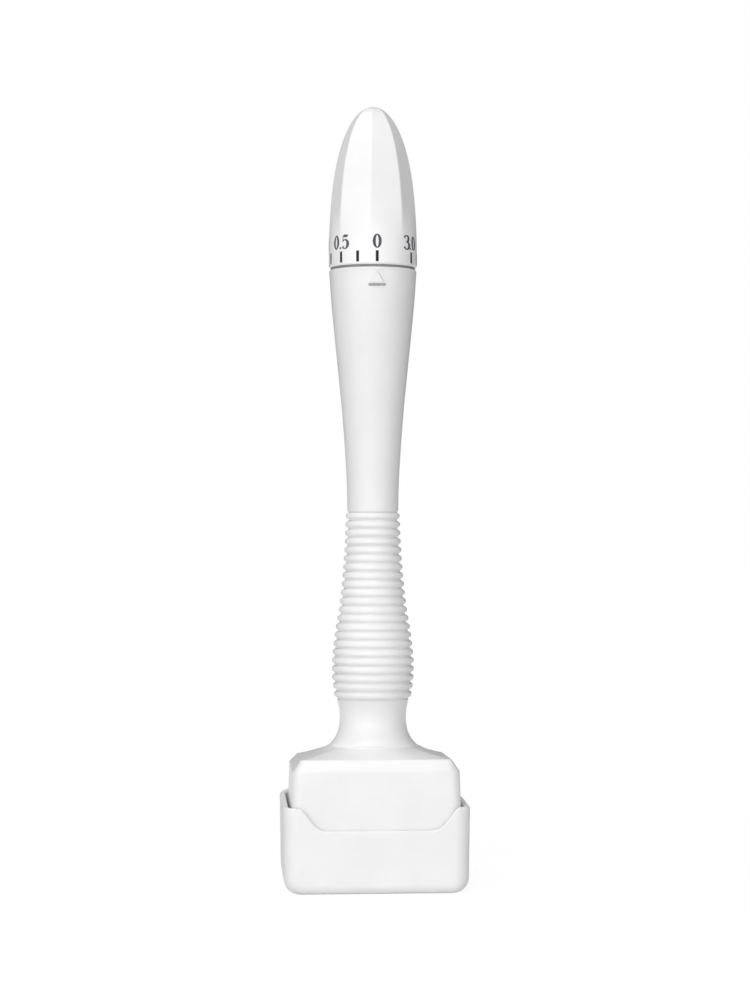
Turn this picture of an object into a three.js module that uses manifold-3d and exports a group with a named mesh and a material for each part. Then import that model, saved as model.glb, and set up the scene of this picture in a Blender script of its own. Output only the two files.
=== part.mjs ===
// Adjustable derma stamp, standing needle side down in its protective cap.
// Millimetres, +Z up the handle. The origin is the centre of the cap's base,
// and -Y is the side with the pointer. Turning the dial screws a keyed rod
// down the handle, and the rod pushes the needles out through the face plate.
import * as THREE from "three";
import { mergeVertices } from "three/addons/utils/BufferGeometryUtils.js";
import Module from "manifold-3d";

const wasm = await Module();
wasm.setup();

// Depth scale
const depthStep = 0.25;
const depthStepCount = 12;
const dialStepAngle = THREE.MathUtils.degToRad(25.5);
const needleTravel = depthStep * depthStepCount;
const dialTurn = dialStepAngle * depthStepCount;

// Clearances
const seatGap = 0.05;
const fitGap = 0.06;
const slideGap = 0.15;
const threadGap = 0.2;
const overrun = 1;

// Heights of the outside, from the table up
const seatHeight = 6.2;
const headWallHeight = 16.2;
const chamferHeight = 2.5;
const shoulderRise = 2;
const neckLength = 9.3;
const ribPitch = 1.635;
const ribCount = 22;
const barrelLength = 46.43;
const seamHeight = 0.4;
const dialLength = 31;

const headWallTop = seatHeight + headWallHeight;
const chamferTop = headWallTop + chamferHeight;
const creaseHeight = chamferTop + shoulderRise;
const gripBottom = creaseHeight + neckLength;
const gripLength = ribPitch * ribCount;
const gripTop = gripBottom + gripLength;
const barrelTop = gripTop + barrelLength;
const dialBottom = barrelTop + seamHeight;
const dialTop = dialBottom + dialLength;

// Protective cap
const capHalfWidth = 17.7;
const capHalfDepth = 13.8;
const capCornerRadius = 3.2;
const capWall = 1.1;
const capFloor = 1.4;
const capDraft = 0.2;
const capSideFillet = 1.5;
const capEndFillet = 2.8;
const capRimHeight = 16.1;
const capDipDepth = 4.15;
const capDipHalfWidth = 8.6;
const capWaveHalfWidth = 15;
const capWavePower = 1.6;
const capRearRise = 0.85;
const capRearRiseDepth = 3.8;
const capLipRadius = 0.4;
const capLedgeWidth = 2.9;
const capLedgeInset = 0.9;
const capLedgeSink = 0.1;

// Head
const headWall = 1.3;
const headBaseClearance = 0.25;
const headDraft = 0.5;
const headCornerRadius = 2;
const headPlanPoints = 8;
const headSidePlanPoints = 6;
const chamferInset = 2.2;
const chamferEndInset = 1.55;
const chamferRearDrop = 0.8;
const chamferCornerRadius = 0.9;
const creaseRadius = 8.5;
const neckWaistRadius = 6.36;
const neckTopRadius = 6.85;
const neckFootShare = 0.3;
const neckWaistShare = 0.6;
const shoulderDishPower = 1.3;

// Face plate and needles
const plateThickness = 1.4;
const plateLedge = 0.5;
const plateHoleHalf = 0.42;
const needleColumnPitch = 2;
const needleRowPitch = 2;
const needleMargin = 1;
const needleRadius = 0.2;
const strokeRoom = 0.4;
const slabThickness = 1.2;
const carriageThickness = 4;
const carriageClearance = 0.5;
const carriagePocketDepth = 2.6;
const carriageRib = 1.2;

// Push rod, its guide, spring and screw
const rodRadius = 2;
const rodFlat = 1.55;
const rodThreadRadius = 1.95;
const clipRadius = 2.85;
const clipThickness = 0.6;
const clipGrooveRadius = 1.45;
const clipOpening = THREE.MathUtils.degToRad(70);
const screwHeadRadius = 1.7;
const screwHeadHeight = 1.1;
const screwRadius = 0.8;
const screwLength = 6;
const screwSlotWidth = 0.4;
const screwSlotDepth = 0.5;
const carriageWeb = 1;
const neckSocketDepth = 7.9;
const guideFlange = 0.6;
const guideLength = 6.1;
const springWire = 0.4;
const springLength = 15;
const springTurns = 6;

// Handle tube and barrel
const tubeBoreRadius = 3.1;
const tubeWall = 0.9;
const gripSwellRadius = 7.95;
const gripWaistRadius = 5.15;
const ribDepth = 0.38;
const ribGrooveShare = 0.26;
const gripShares = [
  [0, 0.79],
  [0.05, 0.89],
  [0.12, 0.98],
  [0.2, 0.99],
  [0.34, 0.81],
  [0.52, 0.45],
  [0.79, 0.13],
  [1, 0],
];
const barrelWaistRadius = 4.9;
const barrelTopRadius = 8.45;
const barrelEdgeRadius = 0.4;
const barrelShares = [
  [0, 0],
  [0.11, 0.03],
  [0.26, 0.14],
  [0.41, 0.29],
  [0.56, 0.48],
  [0.71, 0.68],
  [0.86, 0.87],
  [1, 1],
];
const detentBoreRadius = 6.8;
const detentBoreDepth = 8.6;
const thrustBoreRadius = 6.1;
const thrustBoreDepth = 14.6;
const sleeveBoreRadius = 4.6;
const boreTaperMargin = 2;

// Pointer under the dial. It and the dial's zero stand a little to the right of the head's middle.
const frontTurn = THREE.MathUtils.degToRad(2.8);
const pointerHalfWidth = 1.65;
const pointerHeight = 2.5;
const pointerDrop = 0.75;
const pointerLine = 0.36;
const pointerRise = 0.2;
const pointerRoot = 0.6;

// Drive sleeve and its thrust parts
const sleeveRadius = 3.6;
const sleeveReach = 16;
const sleeveFlangeHeight = 1.5;
const sleeveHexRadius = 3.2;
const sleeveHexLength = 13;
const rodEngagement = 11;
const threadLength = 12;
const thrustWasherHeight = 0.5;
const retainerHeight = 2;
const retainerSlotWidth = 1;
const retainerSlotDepth = 0.8;

// Click stop
const detentRingHeight = 3;
const detentRingWall = 0.95;
const notchDepth = 0.35;
const notchTopLand = 0.5;
const ballRadius = 0.75;
const clickSpringWire = 0.2;
const clickSpringTurns = 3;
const stopLugHeight = 1.3;
const stopLugGap = THREE.MathUtils.degToRad(1);

// Dial
const skirtRadius = 8.5;
const skirtHeight = 1;
const dialEdgeRadius = 0.4;
const domeRisePower = 2.6;
const domeRoundPower = 2;
const dialWall = 1.4;
const facetCount = 8;
const facetOffset = THREE.MathUtils.degToRad(-7.5);
const facetFadeLowShare = 0.1;
const facetFadeHighShare = 0.42;
const hubRadius = 4.3;
const hubRibWidth = 1;
const hubRibLift = 3.2;
const dialLevelShares = [
  0.04, 0.15, 0.26, 0.36, 0.46, 0.56, 0.66, 0.76, 0.85, 0.92, 0.97, 0.993, 1,
];
const slipWasherInset = 0.45;
const slipWasherWidth = 0.9;

// How many flats stand for each rounded form
const roundSides = 24;
const gripSides = 20;
const smallSides = 16;
const hexSides = 6;
const needleSides = 3;
const notchSides = 12;
const ballRows = 8;
const wireSides = 5;
const coilStepsPerTurn = 8;
const cornerSteps = 3;
const filletSteps = 4;
const lipSteps = 2;
const waveSteps = 7;
const shoulderSteps = 4;
const neckSteps = 8;
const barrelSteps = 14;
const dialPointsPerFacet = 3;
const quarter = Math.PI / 2;
const front = -quarter;
const filletMiddleShare = 1 - Math.SQRT1_2;

const mix = THREE.MathUtils.lerp;

// A closed three.js geometry becomes a solid that can be joined and cut.
function solid(geometry) {
  const bare = new THREE.BufferGeometry();
  const flat = geometry.index ? geometry.toNonIndexed() : geometry;
  bare.setAttribute("position", flat.getAttribute("position"));
  const merged = mergeVertices(bare);
  const corners = merged.index.array;
  const kept = [];
  for (let i = 0; i < corners.length; i += 3) {
    const [a, b, c] = corners.slice(i, i + 3);
    if (a !== b && b !== c && c !== a) kept.push(a, b, c);
  }
  return new wasm.Manifold(
    new wasm.Mesh({
      numProp: 3,
      vertProperties: merged.attributes.position.array,
      triVerts: new Uint32Array(kept),
    }),
  );
}

// The solid goes back to a three.js geometry.
function skin(body) {
  const mesh = body.getMesh();
  const geometry = new THREE.BufferGeometry();
  geometry.setAttribute(
    "position",
    new THREE.BufferAttribute(new Float32Array(mesh.vertProperties), 3),
  );
  geometry.setIndex(new THREE.BufferAttribute(new Uint32Array(mesh.triVerts), 1));
  return geometry;
}

// A profile of [radius, height] pairs, anticlockwise round the material, is turned about Z.
function revolve(profile, sides = roundSides) {
  const points = profile.map(([radius, height]) => new THREE.Vector2(radius, height));
  points.push(points[0].clone());
  return solid(new THREE.LatheGeometry(points, sides).rotateX(quarter));
}

// A straight ring or disc between two heights.
const ringSolid = (inner, outer, low, high, sides = roundSides) =>
  revolve([[inner, low], [outer, low], [outer, high], [inner, high]], sides);

const discSolid = (radius, low, high, sides = roundSides) => ringSolid(0, radius, low, high, sides);

// A block given by its lowest and highest corners.
function block(low, high) {
  const size = new THREE.Vector3().subVectors(high, low);
  const middle = new THREE.Vector3().addVectors(high, low).divideScalar(2);
  return solid(new THREE.BoxGeometry(...size.toArray()).translate(...middle.toArray()));
}

const at = (x, y, z) => new THREE.Vector3(x, y, z);

// An XY shape is drawn up the Z axis between two heights.
const prism = (points, low, high) =>
  solid(
    new THREE.ExtrudeGeometry(new THREE.Shape(points), {
      depth: high - low,
      bevelEnabled: false,
    }).translate(0, 0, low),
  );

// A sector of a ring, from one plan angle to another.
function sector(inner, outer, start, end, low, high) {
  const angles = Array.from({ length: smallSides + 1 }, (_, k) => mix(start, end, k / smallSides));
  const arc = (radius, list) =>
    list.map((a) => new THREE.Vector2(radius * Math.cos(a), radius * Math.sin(a)));
  return prism([...arc(outer, angles), ...arc(inner, [...angles].reverse())], low, high);
}

// The plan of a rounded rectangle, anticlockwise. The shares, from -1 to 1, are extra points on
// the straight parts, so that outlines of different sizes keep matching points.
function outline(halfWidth, halfDepth, radius, frontShares, sideShares) {
  const signs = [[1, 1], [-1, 1], [-1, -1], [1, -1]];
  const corners = signs.map(([sx, sy], corner) =>
    Array.from({ length: cornerSteps + 1 }, (_, k) => {
      const angle = quarter * (corner + k / cornerSteps);
      return new THREE.Vector2(
        sx * (halfWidth - radius) + radius * Math.cos(angle),
        sy * (halfDepth - radius) + radius * Math.sin(angle),
      );
    }),
  );
  return corners.flatMap((arc, corner) => {
    const from = arc.at(-1);
    const to = corners[(corner + 1) % corners.length][0];
    const shares = corner % 2 === 0 ? frontShares : sideShares;
    return [...arc, ...shares.map((share) => from.clone().lerp(to, (share + 1) / 2))];
  });
}

// Plan points become a ring in space. The height is a number or a function of the point.
const ring = (points, height) =>
  points.map((p) => at(p.x, p.y, typeof height === "function" ? height(p) : height));

// Plan points slide along their own directions towards a circle.
const towardsCircle = (points, radius, share) =>
  points.map((p) => p.clone().setLength(mix(p.length(), radius, share)));

// A skin over rings with equally many points: up the outside, and down the inside of a shell.
// The two ends are closed by fans, or with loop the last ring is joined to the first.
function loft(rings, loop = false) {
  const positions = [];
  const triangle = (...corners) => corners.forEach((p) => positions.push(p.x, p.y, p.z));
  const count = rings[0].length;
  const middle = (points) =>
    points.reduce((sum, p) => sum.add(p), at(0, 0, 0)).divideScalar(count);
  const spans = loop ? rings.length : rings.length - 1;
  for (let k = 0; k < spans; k++) {
    const low = rings[k];
    const high = rings[(k + 1) % rings.length];
    for (let i = 0; i < count; i++) {
      const next = (i + 1) % count;
      triangle(low[i], low[next], high[next]);
      triangle(low[i], high[next], high[i]);
    }
  }
  if (!loop) {
    const [first, last] = [rings[0], rings.at(-1)];
    const [floor, roof] = [middle(first), middle(last)];
    for (let i = 0; i < count; i++) {
      const next = (i + 1) % count;
      triangle(floor, first[next], first[i]);
      triangle(roof, last[i], last[next]);
    }
  }
  const geometry = new THREE.BufferGeometry();
  geometry.setAttribute("position", new THREE.Float32BufferAttribute(positions, 3));
  return solid(geometry);
}

// A smooth curve through [share of length, share of swell] pairs gives the radius at any share.
function swell(shares, slim, full) {
  const curve = new THREE.CubicInterpolant(
    shares.map(([along]) => along),
    shares.map(([, swelling]) => swelling),
    1,
  );
  return (along) => mix(slim, full, curve.evaluate(along)[0]);
}

// A coil spring on the Z axis, as one wire that ends on its two end planes.
class Helix extends THREE.Curve {
  constructor(radius, low, high, turns) {
    super();
    Object.assign(this, { radius, low, high, turns });
  }

  getPoint(t, target = at(0, 0, 0)) {
    const angle = 2 * Math.PI * this.turns * t;
    return target.set(
      this.radius * Math.cos(angle),
      this.radius * Math.sin(angle),
      mix(this.low, this.high, t),
    );
  }
}

function coil(outerRadius, wire, low, high, turns) {
  const wireRadius = wire / 2;
  const circle = new THREE.EllipseCurve(0, 0, wireRadius, wireRadius);
  return solid(
    new THREE.ExtrudeGeometry(new THREE.Shape(circle.getPoints(wireSides).slice(1)), {
      steps: coilStepsPerTurn * turns,
      bevelEnabled: false,
      extrudePath: new Helix(outerRadius - wireRadius, low + wireRadius, high - wireRadius, turns),
    }),
  );
}

// A rod section with two flats, which keeps the rod from turning in its guide.
function keyedSection(radius, flat) {
  const half = Math.asin(flat / radius);
  const arc = (middle) =>
    Array.from({ length: smallSides / 2 + 1 }, (_, k) => {
      const angle = middle + mix(-half, half, (2 * k) / smallSides);
      return new THREE.Vector2(radius * Math.cos(angle), radius * Math.sin(angle));
    });
  return [...arc(0), ...arc(Math.PI)];
}

// Materials
const plastic = (color, roughness) =>
  new THREE.MeshStandardMaterial({ color, roughness, metalness: 0 });
const metal = (color, roughness) =>
  new THREE.MeshStandardMaterial({ color, roughness, metalness: 1 });
const glossWhite = plastic(0xf4f4f4, 0.28);
const satinWhite = plastic(0xf2f2f2, 0.45);
const matteWhite = plastic(0xf1f1f1, 0.6);
const innerAcetal = plastic(0xe8e6df, 0.4);
const darkNylon = plastic(0x4a4a4c, 0.55);
const steel = metal(0xc9cbce, 0.3);
const brass = metal(0xc8a85c, 0.35);

const group = new THREE.Group();

function add(name, body, material) {
  const mesh = new THREE.Mesh(skin(body), material);
  mesh.name = name;
  group.add(mesh);
}

// Protective cap: a rounded tray with a wave in both long rims, of which the rear one stands a
// little higher. Ledges in its corners carry the head.
const capStraightHalf = capHalfWidth - capCornerRadius;
const waveShares = Array.from({ length: waveSteps }, (_, k) =>
  mix(capDipHalfWidth / capStraightHalf, 1, k / waveSteps),
);
const capFrontShares = [...waveShares.map((share) => -share).reverse(), ...waveShares];

function capRim(point) {
  const out = (Math.abs(point.x) - capDipHalfWidth) / (capWaveHalfWidth - capDipHalfWidth);
  const rise = THREE.MathUtils.clamp(out, 0, 1) ** capWavePower;
  const back = THREE.MathUtils.smoothstep(point.y, capHalfDepth - capRearRiseDepth, capHalfDepth);
  return capRimHeight + capRearRise * back - (capDipDepth * (1 + Math.cos(Math.PI * rise))) / 2;
}

const capOutline = (insetX, insetY = insetX) =>
  outline(
    capHalfWidth - insetX,
    capHalfDepth - insetY,
    capCornerRadius - Math.min(insetX, insetY),
    capFrontShares,
    [],
  );

// How far a rounded bottom edge stays in from its wall at a height.
function filletInset(radius, height) {
  const below = Math.max(radius - height, 0);
  return radius - Math.sqrt(radius ** 2 - below ** 2);
}

// A quarter circle of a radius, as how far each point stays in from the side and from the end.
const quarterRound = (radius, steps) =>
  Array.from({ length: steps + 1 }, (_, k) => {
    const angle = (quarter * k) / steps;
    return { inset: radius * (1 - Math.cos(angle)), drop: radius * (1 - Math.sin(angle)) };
  });

function protectiveCap() {
  const base = Array.from({ length: filletSteps + 1 }, (_, k) => {
    const height = capEndFillet * (1 - Math.cos((quarter * k) / filletSteps));
    const draft = capDraft * (1 - height / capRimHeight);
    const end = draft + filletInset(capEndFillet, height);
    const side = draft + filletInset(capSideFillet, height);
    return ring(capOutline(end, side), height);
  });
  const lip = quarterRound(capLipRadius, lipSteps);
  const outerLip = lip.map(({ inset, drop }) => ring(capOutline(inset), (p) => capRim(p) - drop));
  const innerLip = [...lip]
    .reverse()
    .map(({ inset, drop }) => ring(capOutline(capWall - inset), (p) => capRim(p) - drop));
  const tray = loft([...base, ...outerLip, ...innerLip, ring(capOutline(capWall), capFloor)]);
  const insideX = capHalfWidth - capWall - capLedgeWidth;
  const insideY = capHalfDepth - capWall - capLedgeWidth;
  const core = prism(capOutline(capLedgeInset), capFloor - capLedgeSink, seatHeight - seatGap);
  const cross = [
    block(at(-insideX, -capHalfDepth, 0), at(insideX, capHalfDepth, seatHeight)),
    block(at(-capHalfWidth, -insideY, 0), at(capHalfWidth, insideY, seatHeight)),
  ];
  const ledges = cross.reduce((whole, cut) => whole.subtract(cut), core);
  return tray.add(ledges);
}

// Head: straight walls, a chamfer, a dished shoulder that turns from rectangle to round, and
// the neck. Inside it is a box for the needle carriage, and a socket for the handle's tube.
const headHalfWidth = capHalfWidth - capWall - headBaseClearance;
const headHalfDepth = capHalfDepth - capWall - headBaseClearance;
const tubeRadius = tubeBoreRadius + tubeWall;
const socketFloor = gripBottom - neckSocketDepth;
const plateTop = seatHeight + plateThickness;

// Points on a straight side that stand at equal angles as seen from the middle.
const spreadShares = (count, widest) =>
  Array.from({ length: count - 1 }, (_, k) => {
    const angle = widest * ((2 * (k + 1)) / count - 1);
    return Math.tan(angle) / Math.tan(widest);
  });
const headFrontShares = spreadShares(headPlanPoints, Math.atan(headHalfWidth / headHalfDepth));
const headSideShares = spreadShares(headSidePlanPoints, Math.atan(headHalfDepth / headHalfWidth));

const headOutline = (inset, radius, endInset = inset) =>
  outline(headHalfWidth - endInset, headHalfDepth - inset, radius, headFrontShares, headSideShares);

const plainHeadOutline = (inset) =>
  outline(headHalfWidth - inset, headHalfDepth - inset, chamferCornerRadius, [], []);

function neckProfile() {
  const curve = new THREE.CubicBezierCurve(
    new THREE.Vector2(creaseRadius, creaseHeight),
    new THREE.Vector2(neckWaistRadius, creaseHeight + neckLength * neckFootShare),
    new THREE.Vector2(
      2 * neckWaistRadius - neckTopRadius,
      creaseHeight + neckLength * neckWaistShare,
    ),
    new THREE.Vector2(neckTopRadius, gripBottom),
  );
  return curve.getPoints(neckSteps);
}

// The chamfer's top edge runs a little down towards the back.
function shoulderFoot(point) {
  const back = (point.y / (headHalfDepth - headDraft - chamferInset) + 1) / 2;
  return chamferTop - chamferRearDrop * back;
}

function headHousing() {
  const shoulderLine = headOutline(
    headDraft + chamferInset,
    chamferCornerRadius,
    headDraft + chamferEndInset,
  );
  const shoulder = Array.from({ length: shoulderSteps }, (_, k) => {
    const share = (k + 1) / shoulderSteps;
    return towardsCircle(shoulderLine, creaseRadius, share).map((p, i) => {
      const foot = shoulderFoot(shoulderLine[i]);
      return at(p.x, p.y, mix(foot, creaseHeight, share ** shoulderDishPower));
    });
  });
  const round = (radius, height) => ring(towardsCircle(shoulderLine, radius, 1), height);
  const neck = neckProfile()
    .slice(1)
    .map((p) => round(p.x, p.y));
  const walls = headDraft + headWall;
  return loft(
    [
      ring(headOutline(0, headCornerRadius), seatHeight),
      ring(headOutline(headDraft, headCornerRadius), headWallTop),
      ring(shoulderLine, shoulderFoot),
      ...shoulder,
      ...neck,
      round(tubeRadius + fitGap, gripBottom),
      round(tubeRadius + fitGap, socketFloor),
      round(tubeBoreRadius, socketFloor),
      round(tubeBoreRadius, chamferTop),
      round(creaseRadius - 2 * headWall, chamferTop),
      ring(headOutline(walls + chamferInset, chamferCornerRadius), chamferTop - headWall),
      ring(headOutline(walls, chamferCornerRadius), headWallTop - headWall),
      ring(headOutline(walls, chamferCornerRadius), plateTop),
      ring(headOutline(walls - plateLedge, chamferCornerRadius), plateTop),
      ring(headOutline(walls - plateLedge, chamferCornerRadius), seatHeight),
    ],
    true,
  );
}

// The needles stand in a grid that fills the carriage's face up to a margin.
const carriageInset = headDraft + headWall + carriageClearance;

function evenlySpaced(halfSpan, pitch) {
  const count = Math.floor((2 * halfSpan) / pitch) + 1;
  return Array.from({ length: count }, (_, k) => (k - (count - 1) / 2) * pitch);
}

const needleColumns = evenlySpaced(headHalfWidth - carriageInset - needleMargin, needleColumnPitch);
const needleRows = evenlySpaced(headHalfDepth - carriageInset - needleMargin, needleRowPitch);
const needlePlaces = needleColumns.flatMap((x) => needleRows.map((y) => [x, y]));

// Face plate: closes the head and guides every needle through its own square hole.
function facePlate() {
  const edge = headDraft + headWall - plateLedge + fitGap;
  const plate = prism(plainHeadOutline(edge), seatHeight, plateTop);
  const holes = needlePlaces.map(([x, y]) =>
    block(
      at(x - plateHoleHalf, y - plateHoleHalf, seatHeight - overrun),
      at(x + plateHoleHalf, y + plateHoleHalf, plateTop + overrun),
    ),
  );
  return plate.subtract(wasm.Manifold.union(holes));
}

// Needle array: three-sided needles, tapered from root to point, on one potting slab.
const slabBottom = plateTop + needleTravel + strokeRoom;
const carriageBottom = slabBottom + slabThickness;

function needleArray() {
  const section = (x, y, radius, height) =>
    Array.from({ length: needleSides }, (_, k) => {
      const angle = front + (2 * Math.PI * k) / needleSides;
      return at(x + radius * Math.cos(angle), y + radius * Math.sin(angle), height);
    });
  const slab = prism(plainHeadOutline(carriageInset), slabBottom, carriageBottom);
  const needles = needlePlaces.map(([x, y]) =>
    loft([
      section(x, y, 0, seatHeight),
      section(x, y, needleRadius, slabBottom + slabThickness / 2),
    ]),
  );
  return wasm.Manifold.union([slab, ...needles]);
}

// Needle carriage: a ribbed block that carries the slab and takes the rod's end.
const rodBottom = carriageBottom + screwHeadHeight + screwSlotDepth + carriageWeb;

function needleCarriage() {
  const top = carriageBottom + carriageThickness;
  const blank = prism(plainHeadOutline(carriageInset), carriageBottom, top);
  const bossHalf = rodRadius + 2 * carriageRib;
  const halfWidth = headHalfWidth - carriageInset - carriageRib;
  const halfDepth = headHalfDepth - carriageInset - carriageRib;
  const pockets = [];
  for (const side of [-1, 1]) {
    for (const end of [-1, 1]) {
      const xs = [side * bossHalf, side * halfWidth].sort((a, b) => a - b);
      const ys = [(end * carriageRib) / 2, end * halfDepth].sort((a, b) => a - b);
      const floor = top - carriagePocketDepth;
      pockets.push(block(at(xs[0], ys[0], floor), at(xs[1], ys[1], top + overrun)));
    }
  }
  const low = carriageBottom - overrun;
  const cuts = [
    ...pockets,
    discSolid(screwHeadRadius + slideGap, low, rodBottom - carriageWeb, smallSides),
    discSolid(screwRadius + slideGap, low, top, smallSides),
    prism(keyedSection(rodRadius + slideGap, rodFlat + slideGap), rodBottom, top + overrun),
  ];
  return cuts.reduce((whole, cut) => whole.subtract(cut), blank);
}

function carriageScrew() {
  const headTop = rodBottom - carriageWeb - seatGap;
  const headBottom = headTop - screwHeadHeight;
  const body = revolve(
    [
      [0, headBottom],
      [screwHeadRadius, headBottom],
      [screwHeadRadius, headTop],
      [screwRadius, headTop],
      [screwRadius, headTop + screwLength],
      [0, headTop + screwLength],
    ],
    smallSides,
  );
  const slot = block(
    at(-screwHeadRadius - overrun, -screwSlotWidth / 2, headBottom - overrun),
    at(screwHeadRadius + overrun, screwSlotWidth / 2, headBottom + screwSlotDepth),
  );
  return body.subtract(slot);
}

// Handle and drive levels
const tubeBottom = socketFloor + guideFlange + seatGap;
const guideTop = socketFloor + guideLength;
const springBottom = guideTop + seatGap;
const springTop = springBottom + springLength;
const clipBottom = springTop + seatGap;
const clipTop = clipBottom + clipThickness;
const thrustSeat = barrelTop - thrustBoreDepth;
const detentSeat = barrelTop - detentBoreDepth;
const sleeveBottom = thrustSeat - sleeveReach;
const rodTop = sleeveBottom + rodEngagement;
const flangeBottom = thrustSeat + thrustWasherHeight + seatGap;
const flangeTop = flangeBottom + sleeveFlangeHeight;
const retainerBottom = flangeTop + slideGap;

// Push rod: flats along the guided length, a groove for the spring's clip, a round threaded end
// and a tapped hole in its foot.
function pushRod() {
  const shank = prism(keyedSection(rodRadius, rodFlat), rodBottom, clipTop + overrun);
  const thread = discSolid(rodThreadRadius, clipTop, rodTop, smallSides);
  const tapped = discSolid(
    screwRadius + threadGap,
    rodBottom - overrun,
    rodBottom + screwLength,
    smallSides,
  );
  const groove = ringSolid(
    clipGrooveRadius,
    rodRadius + overrun,
    clipBottom,
    clipTop + seatGap,
    smallSides,
  );
  return shank.add(thread).subtract(tapped).subtract(groove);
}

// Spring clip: an open ring in the rod's groove, for the return spring to push on.
const springClip = () =>
  sector(
    clipGrooveRadius + seatGap,
    clipRadius,
    front + clipOpening / 2,
    front - clipOpening / 2 + 2 * Math.PI,
    clipBottom,
    clipTop,
  );

// Rod guide: a flanged bush in the tube's end whose keyed bore keeps the rod from turning.
function rodGuide() {
  const bush = revolve([
    [0, socketFloor],
    [tubeRadius - fitGap, socketFloor],
    [tubeRadius - fitGap, socketFloor + guideFlange],
    [tubeBoreRadius - fitGap, socketFloor + guideFlange],
    [tubeBoreRadius - fitGap, guideTop],
    [0, guideTop],
  ]);
  const bore = keyedSection(rodRadius + slideGap, rodFlat + slideGap);
  return bush.subtract(prism(bore, socketFloor - overrun, guideTop + overrun));
}

const returnSpring = () =>
  coil(tubeBoreRadius - slideGap - fitGap, springWire, springBottom, springTop, springTurns);

// Grip sleeve: a run of equal ribs whose crests follow the swell of the handle.
function gripSleeve() {
  const gripRadius = swell(gripShares, gripWaistRadius, gripSwellRadius);
  const profile = [[tubeRadius + fitGap, gripBottom]];
  for (let rib = 0; rib < ribCount; rib++) {
    for (const share of [0, ribGrooveShare, 1 - ribGrooveShare / 2]) {
      const along = (rib + share) / ribCount;
      const depth = share === 0 ? ribDepth : 0;
      profile.push([gripRadius(along) - depth, gripBottom + gripLength * along]);
    }
  }
  profile.push([gripWaistRadius, gripTop], [tubeRadius + fitGap, gripTop]);
  return revolve(profile, gripSides);
}

// Handle body: the barrel, and the tube that runs down through the grip into the neck.
function barrelOutside(rise) {
  const barrelRadius = swell(barrelShares, barrelWaistRadius, barrelTopRadius);
  const edge = barrelEdgeRadius;
  const middle = edge * filletMiddleShare;
  const side = Array.from({ length: barrelSteps + 1 }, (_, k) => {
    const along = k / barrelSteps;
    return [barrelRadius(along), gripTop + (barrelLength - edge) * along];
  });
  const top = [
    [barrelTopRadius - middle, barrelTop - middle],
    [barrelTopRadius - edge, barrelTop],
  ];
  return [...side, ...top].map(([radius, height]) => [radius + rise, height]);
}

function pointer() {
  const apex = barrelTop - pointerDrop;
  const slant = Math.hypot(pointerHalfWidth, pointerHeight) / pointerHalfWidth;
  const triangle = (inset) => {
    const drop = inset * slant;
    const half = pointerHalfWidth * (1 - (drop + inset) / pointerHeight);
    const foot = apex - pointerHeight + inset;
    return [[0, apex - drop], [-half, foot], [half, foot]].map(([x, y]) => new THREE.Vector2(x, y));
  };
  const shape = new THREE.Shape(triangle(0));
  shape.holes.push(new THREE.Path(triangle(pointerLine)));
  const bar = new THREE.ExtrudeGeometry(shape, { depth: 2 * barrelTopRadius, bevelEnabled: false });
  const face = revolve([[0, gripTop], ...barrelOutside(pointerRise), [0, barrelTop]]);
  return solid(bar.rotateX(quarter).rotateZ(frontTurn)).intersect(face);
}

function handleBody() {
  const body = revolve([
    [tubeBoreRadius, tubeBottom],
    [tubeRadius, tubeBottom],
    [tubeRadius, gripTop],
    ...barrelOutside(0),
    [detentBoreRadius, barrelTop],
    [detentBoreRadius, detentSeat],
    [thrustBoreRadius, detentSeat],
    [thrustBoreRadius, thrustSeat],
    [sleeveBoreRadius, thrustSeat],
    [tubeBoreRadius, gripTop + boreTaperMargin],
  ]);
  const core = revolve([[0, gripTop], ...barrelOutside(-pointerRoot), [0, barrelTop]]);
  return body.add(pointer().subtract(core));
}

// Drive sleeve: its thread moves the rod, its flange takes the thrust, and its hexagon carries
// the dial.
function driveSleeve() {
  const hexTop = dialBottom + sleeveHexLength;
  const outside = revolve([
    [0, sleeveBottom],
    [sleeveRadius, sleeveBottom],
    [sleeveRadius, flangeBottom],
    [thrustBoreRadius - slideGap, flangeBottom],
    [thrustBoreRadius - slideGap, flangeTop],
    [0, flangeTop],
  ]);
  const hexagon = discSolid(sleeveHexRadius, flangeTop - overrun, hexTop, hexSides);
  const threadTop = sleeveBottom + threadLength;
  const threadRadius = rodThreadRadius + threadGap;
  const thread = discSolid(threadRadius, sleeveBottom - overrun, threadTop, smallSides);
  const relief = discSolid(threadRadius + threadGap, threadTop, hexTop + overrun, smallSides);
  return outside.add(hexagon).subtract(thread).subtract(relief);
}

const thrustWasher = () =>
  ringSolid(sleeveBoreRadius, thrustBoreRadius - fitGap, thrustSeat, thrustSeat + thrustWasherHeight);

// Retaining ring: pressed in over the sleeve's flange, with two slots for a spanner.
function retainingRing() {
  const top = retainerBottom + retainerHeight;
  const outer = thrustBoreRadius - fitGap;
  const blank = ringSolid(sleeveHexRadius + threadGap, outer, retainerBottom, top);
  const slot = block(
    at(-thrustBoreRadius - overrun, -retainerSlotWidth / 2, top - retainerSlotDepth),
    at(thrustBoreRadius + overrun, retainerSlotWidth / 2, top + overrun),
  );
  return blank.subtract(slot);
}

// Click stop: notches for each step, and a lug that ends the turn at both limits.
const crestRadius = detentBoreRadius - fitGap - detentRingWall;
const collarRadius = crestRadius - threadGap;
const detentTop = detentSeat + detentRingHeight;
const ballHeight = detentSeat + detentRingHeight / 2;
const ballPlace = collarRadius + seatGap - ballRadius;
const lugWidth = (2 * Math.PI - dialTurn) / 2 - stopLugGap;
const dialLugMiddle = Math.PI / 2;
const ringLugMiddle = dialLugMiddle - (2 * Math.PI - dialTurn) / 2;

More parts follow.
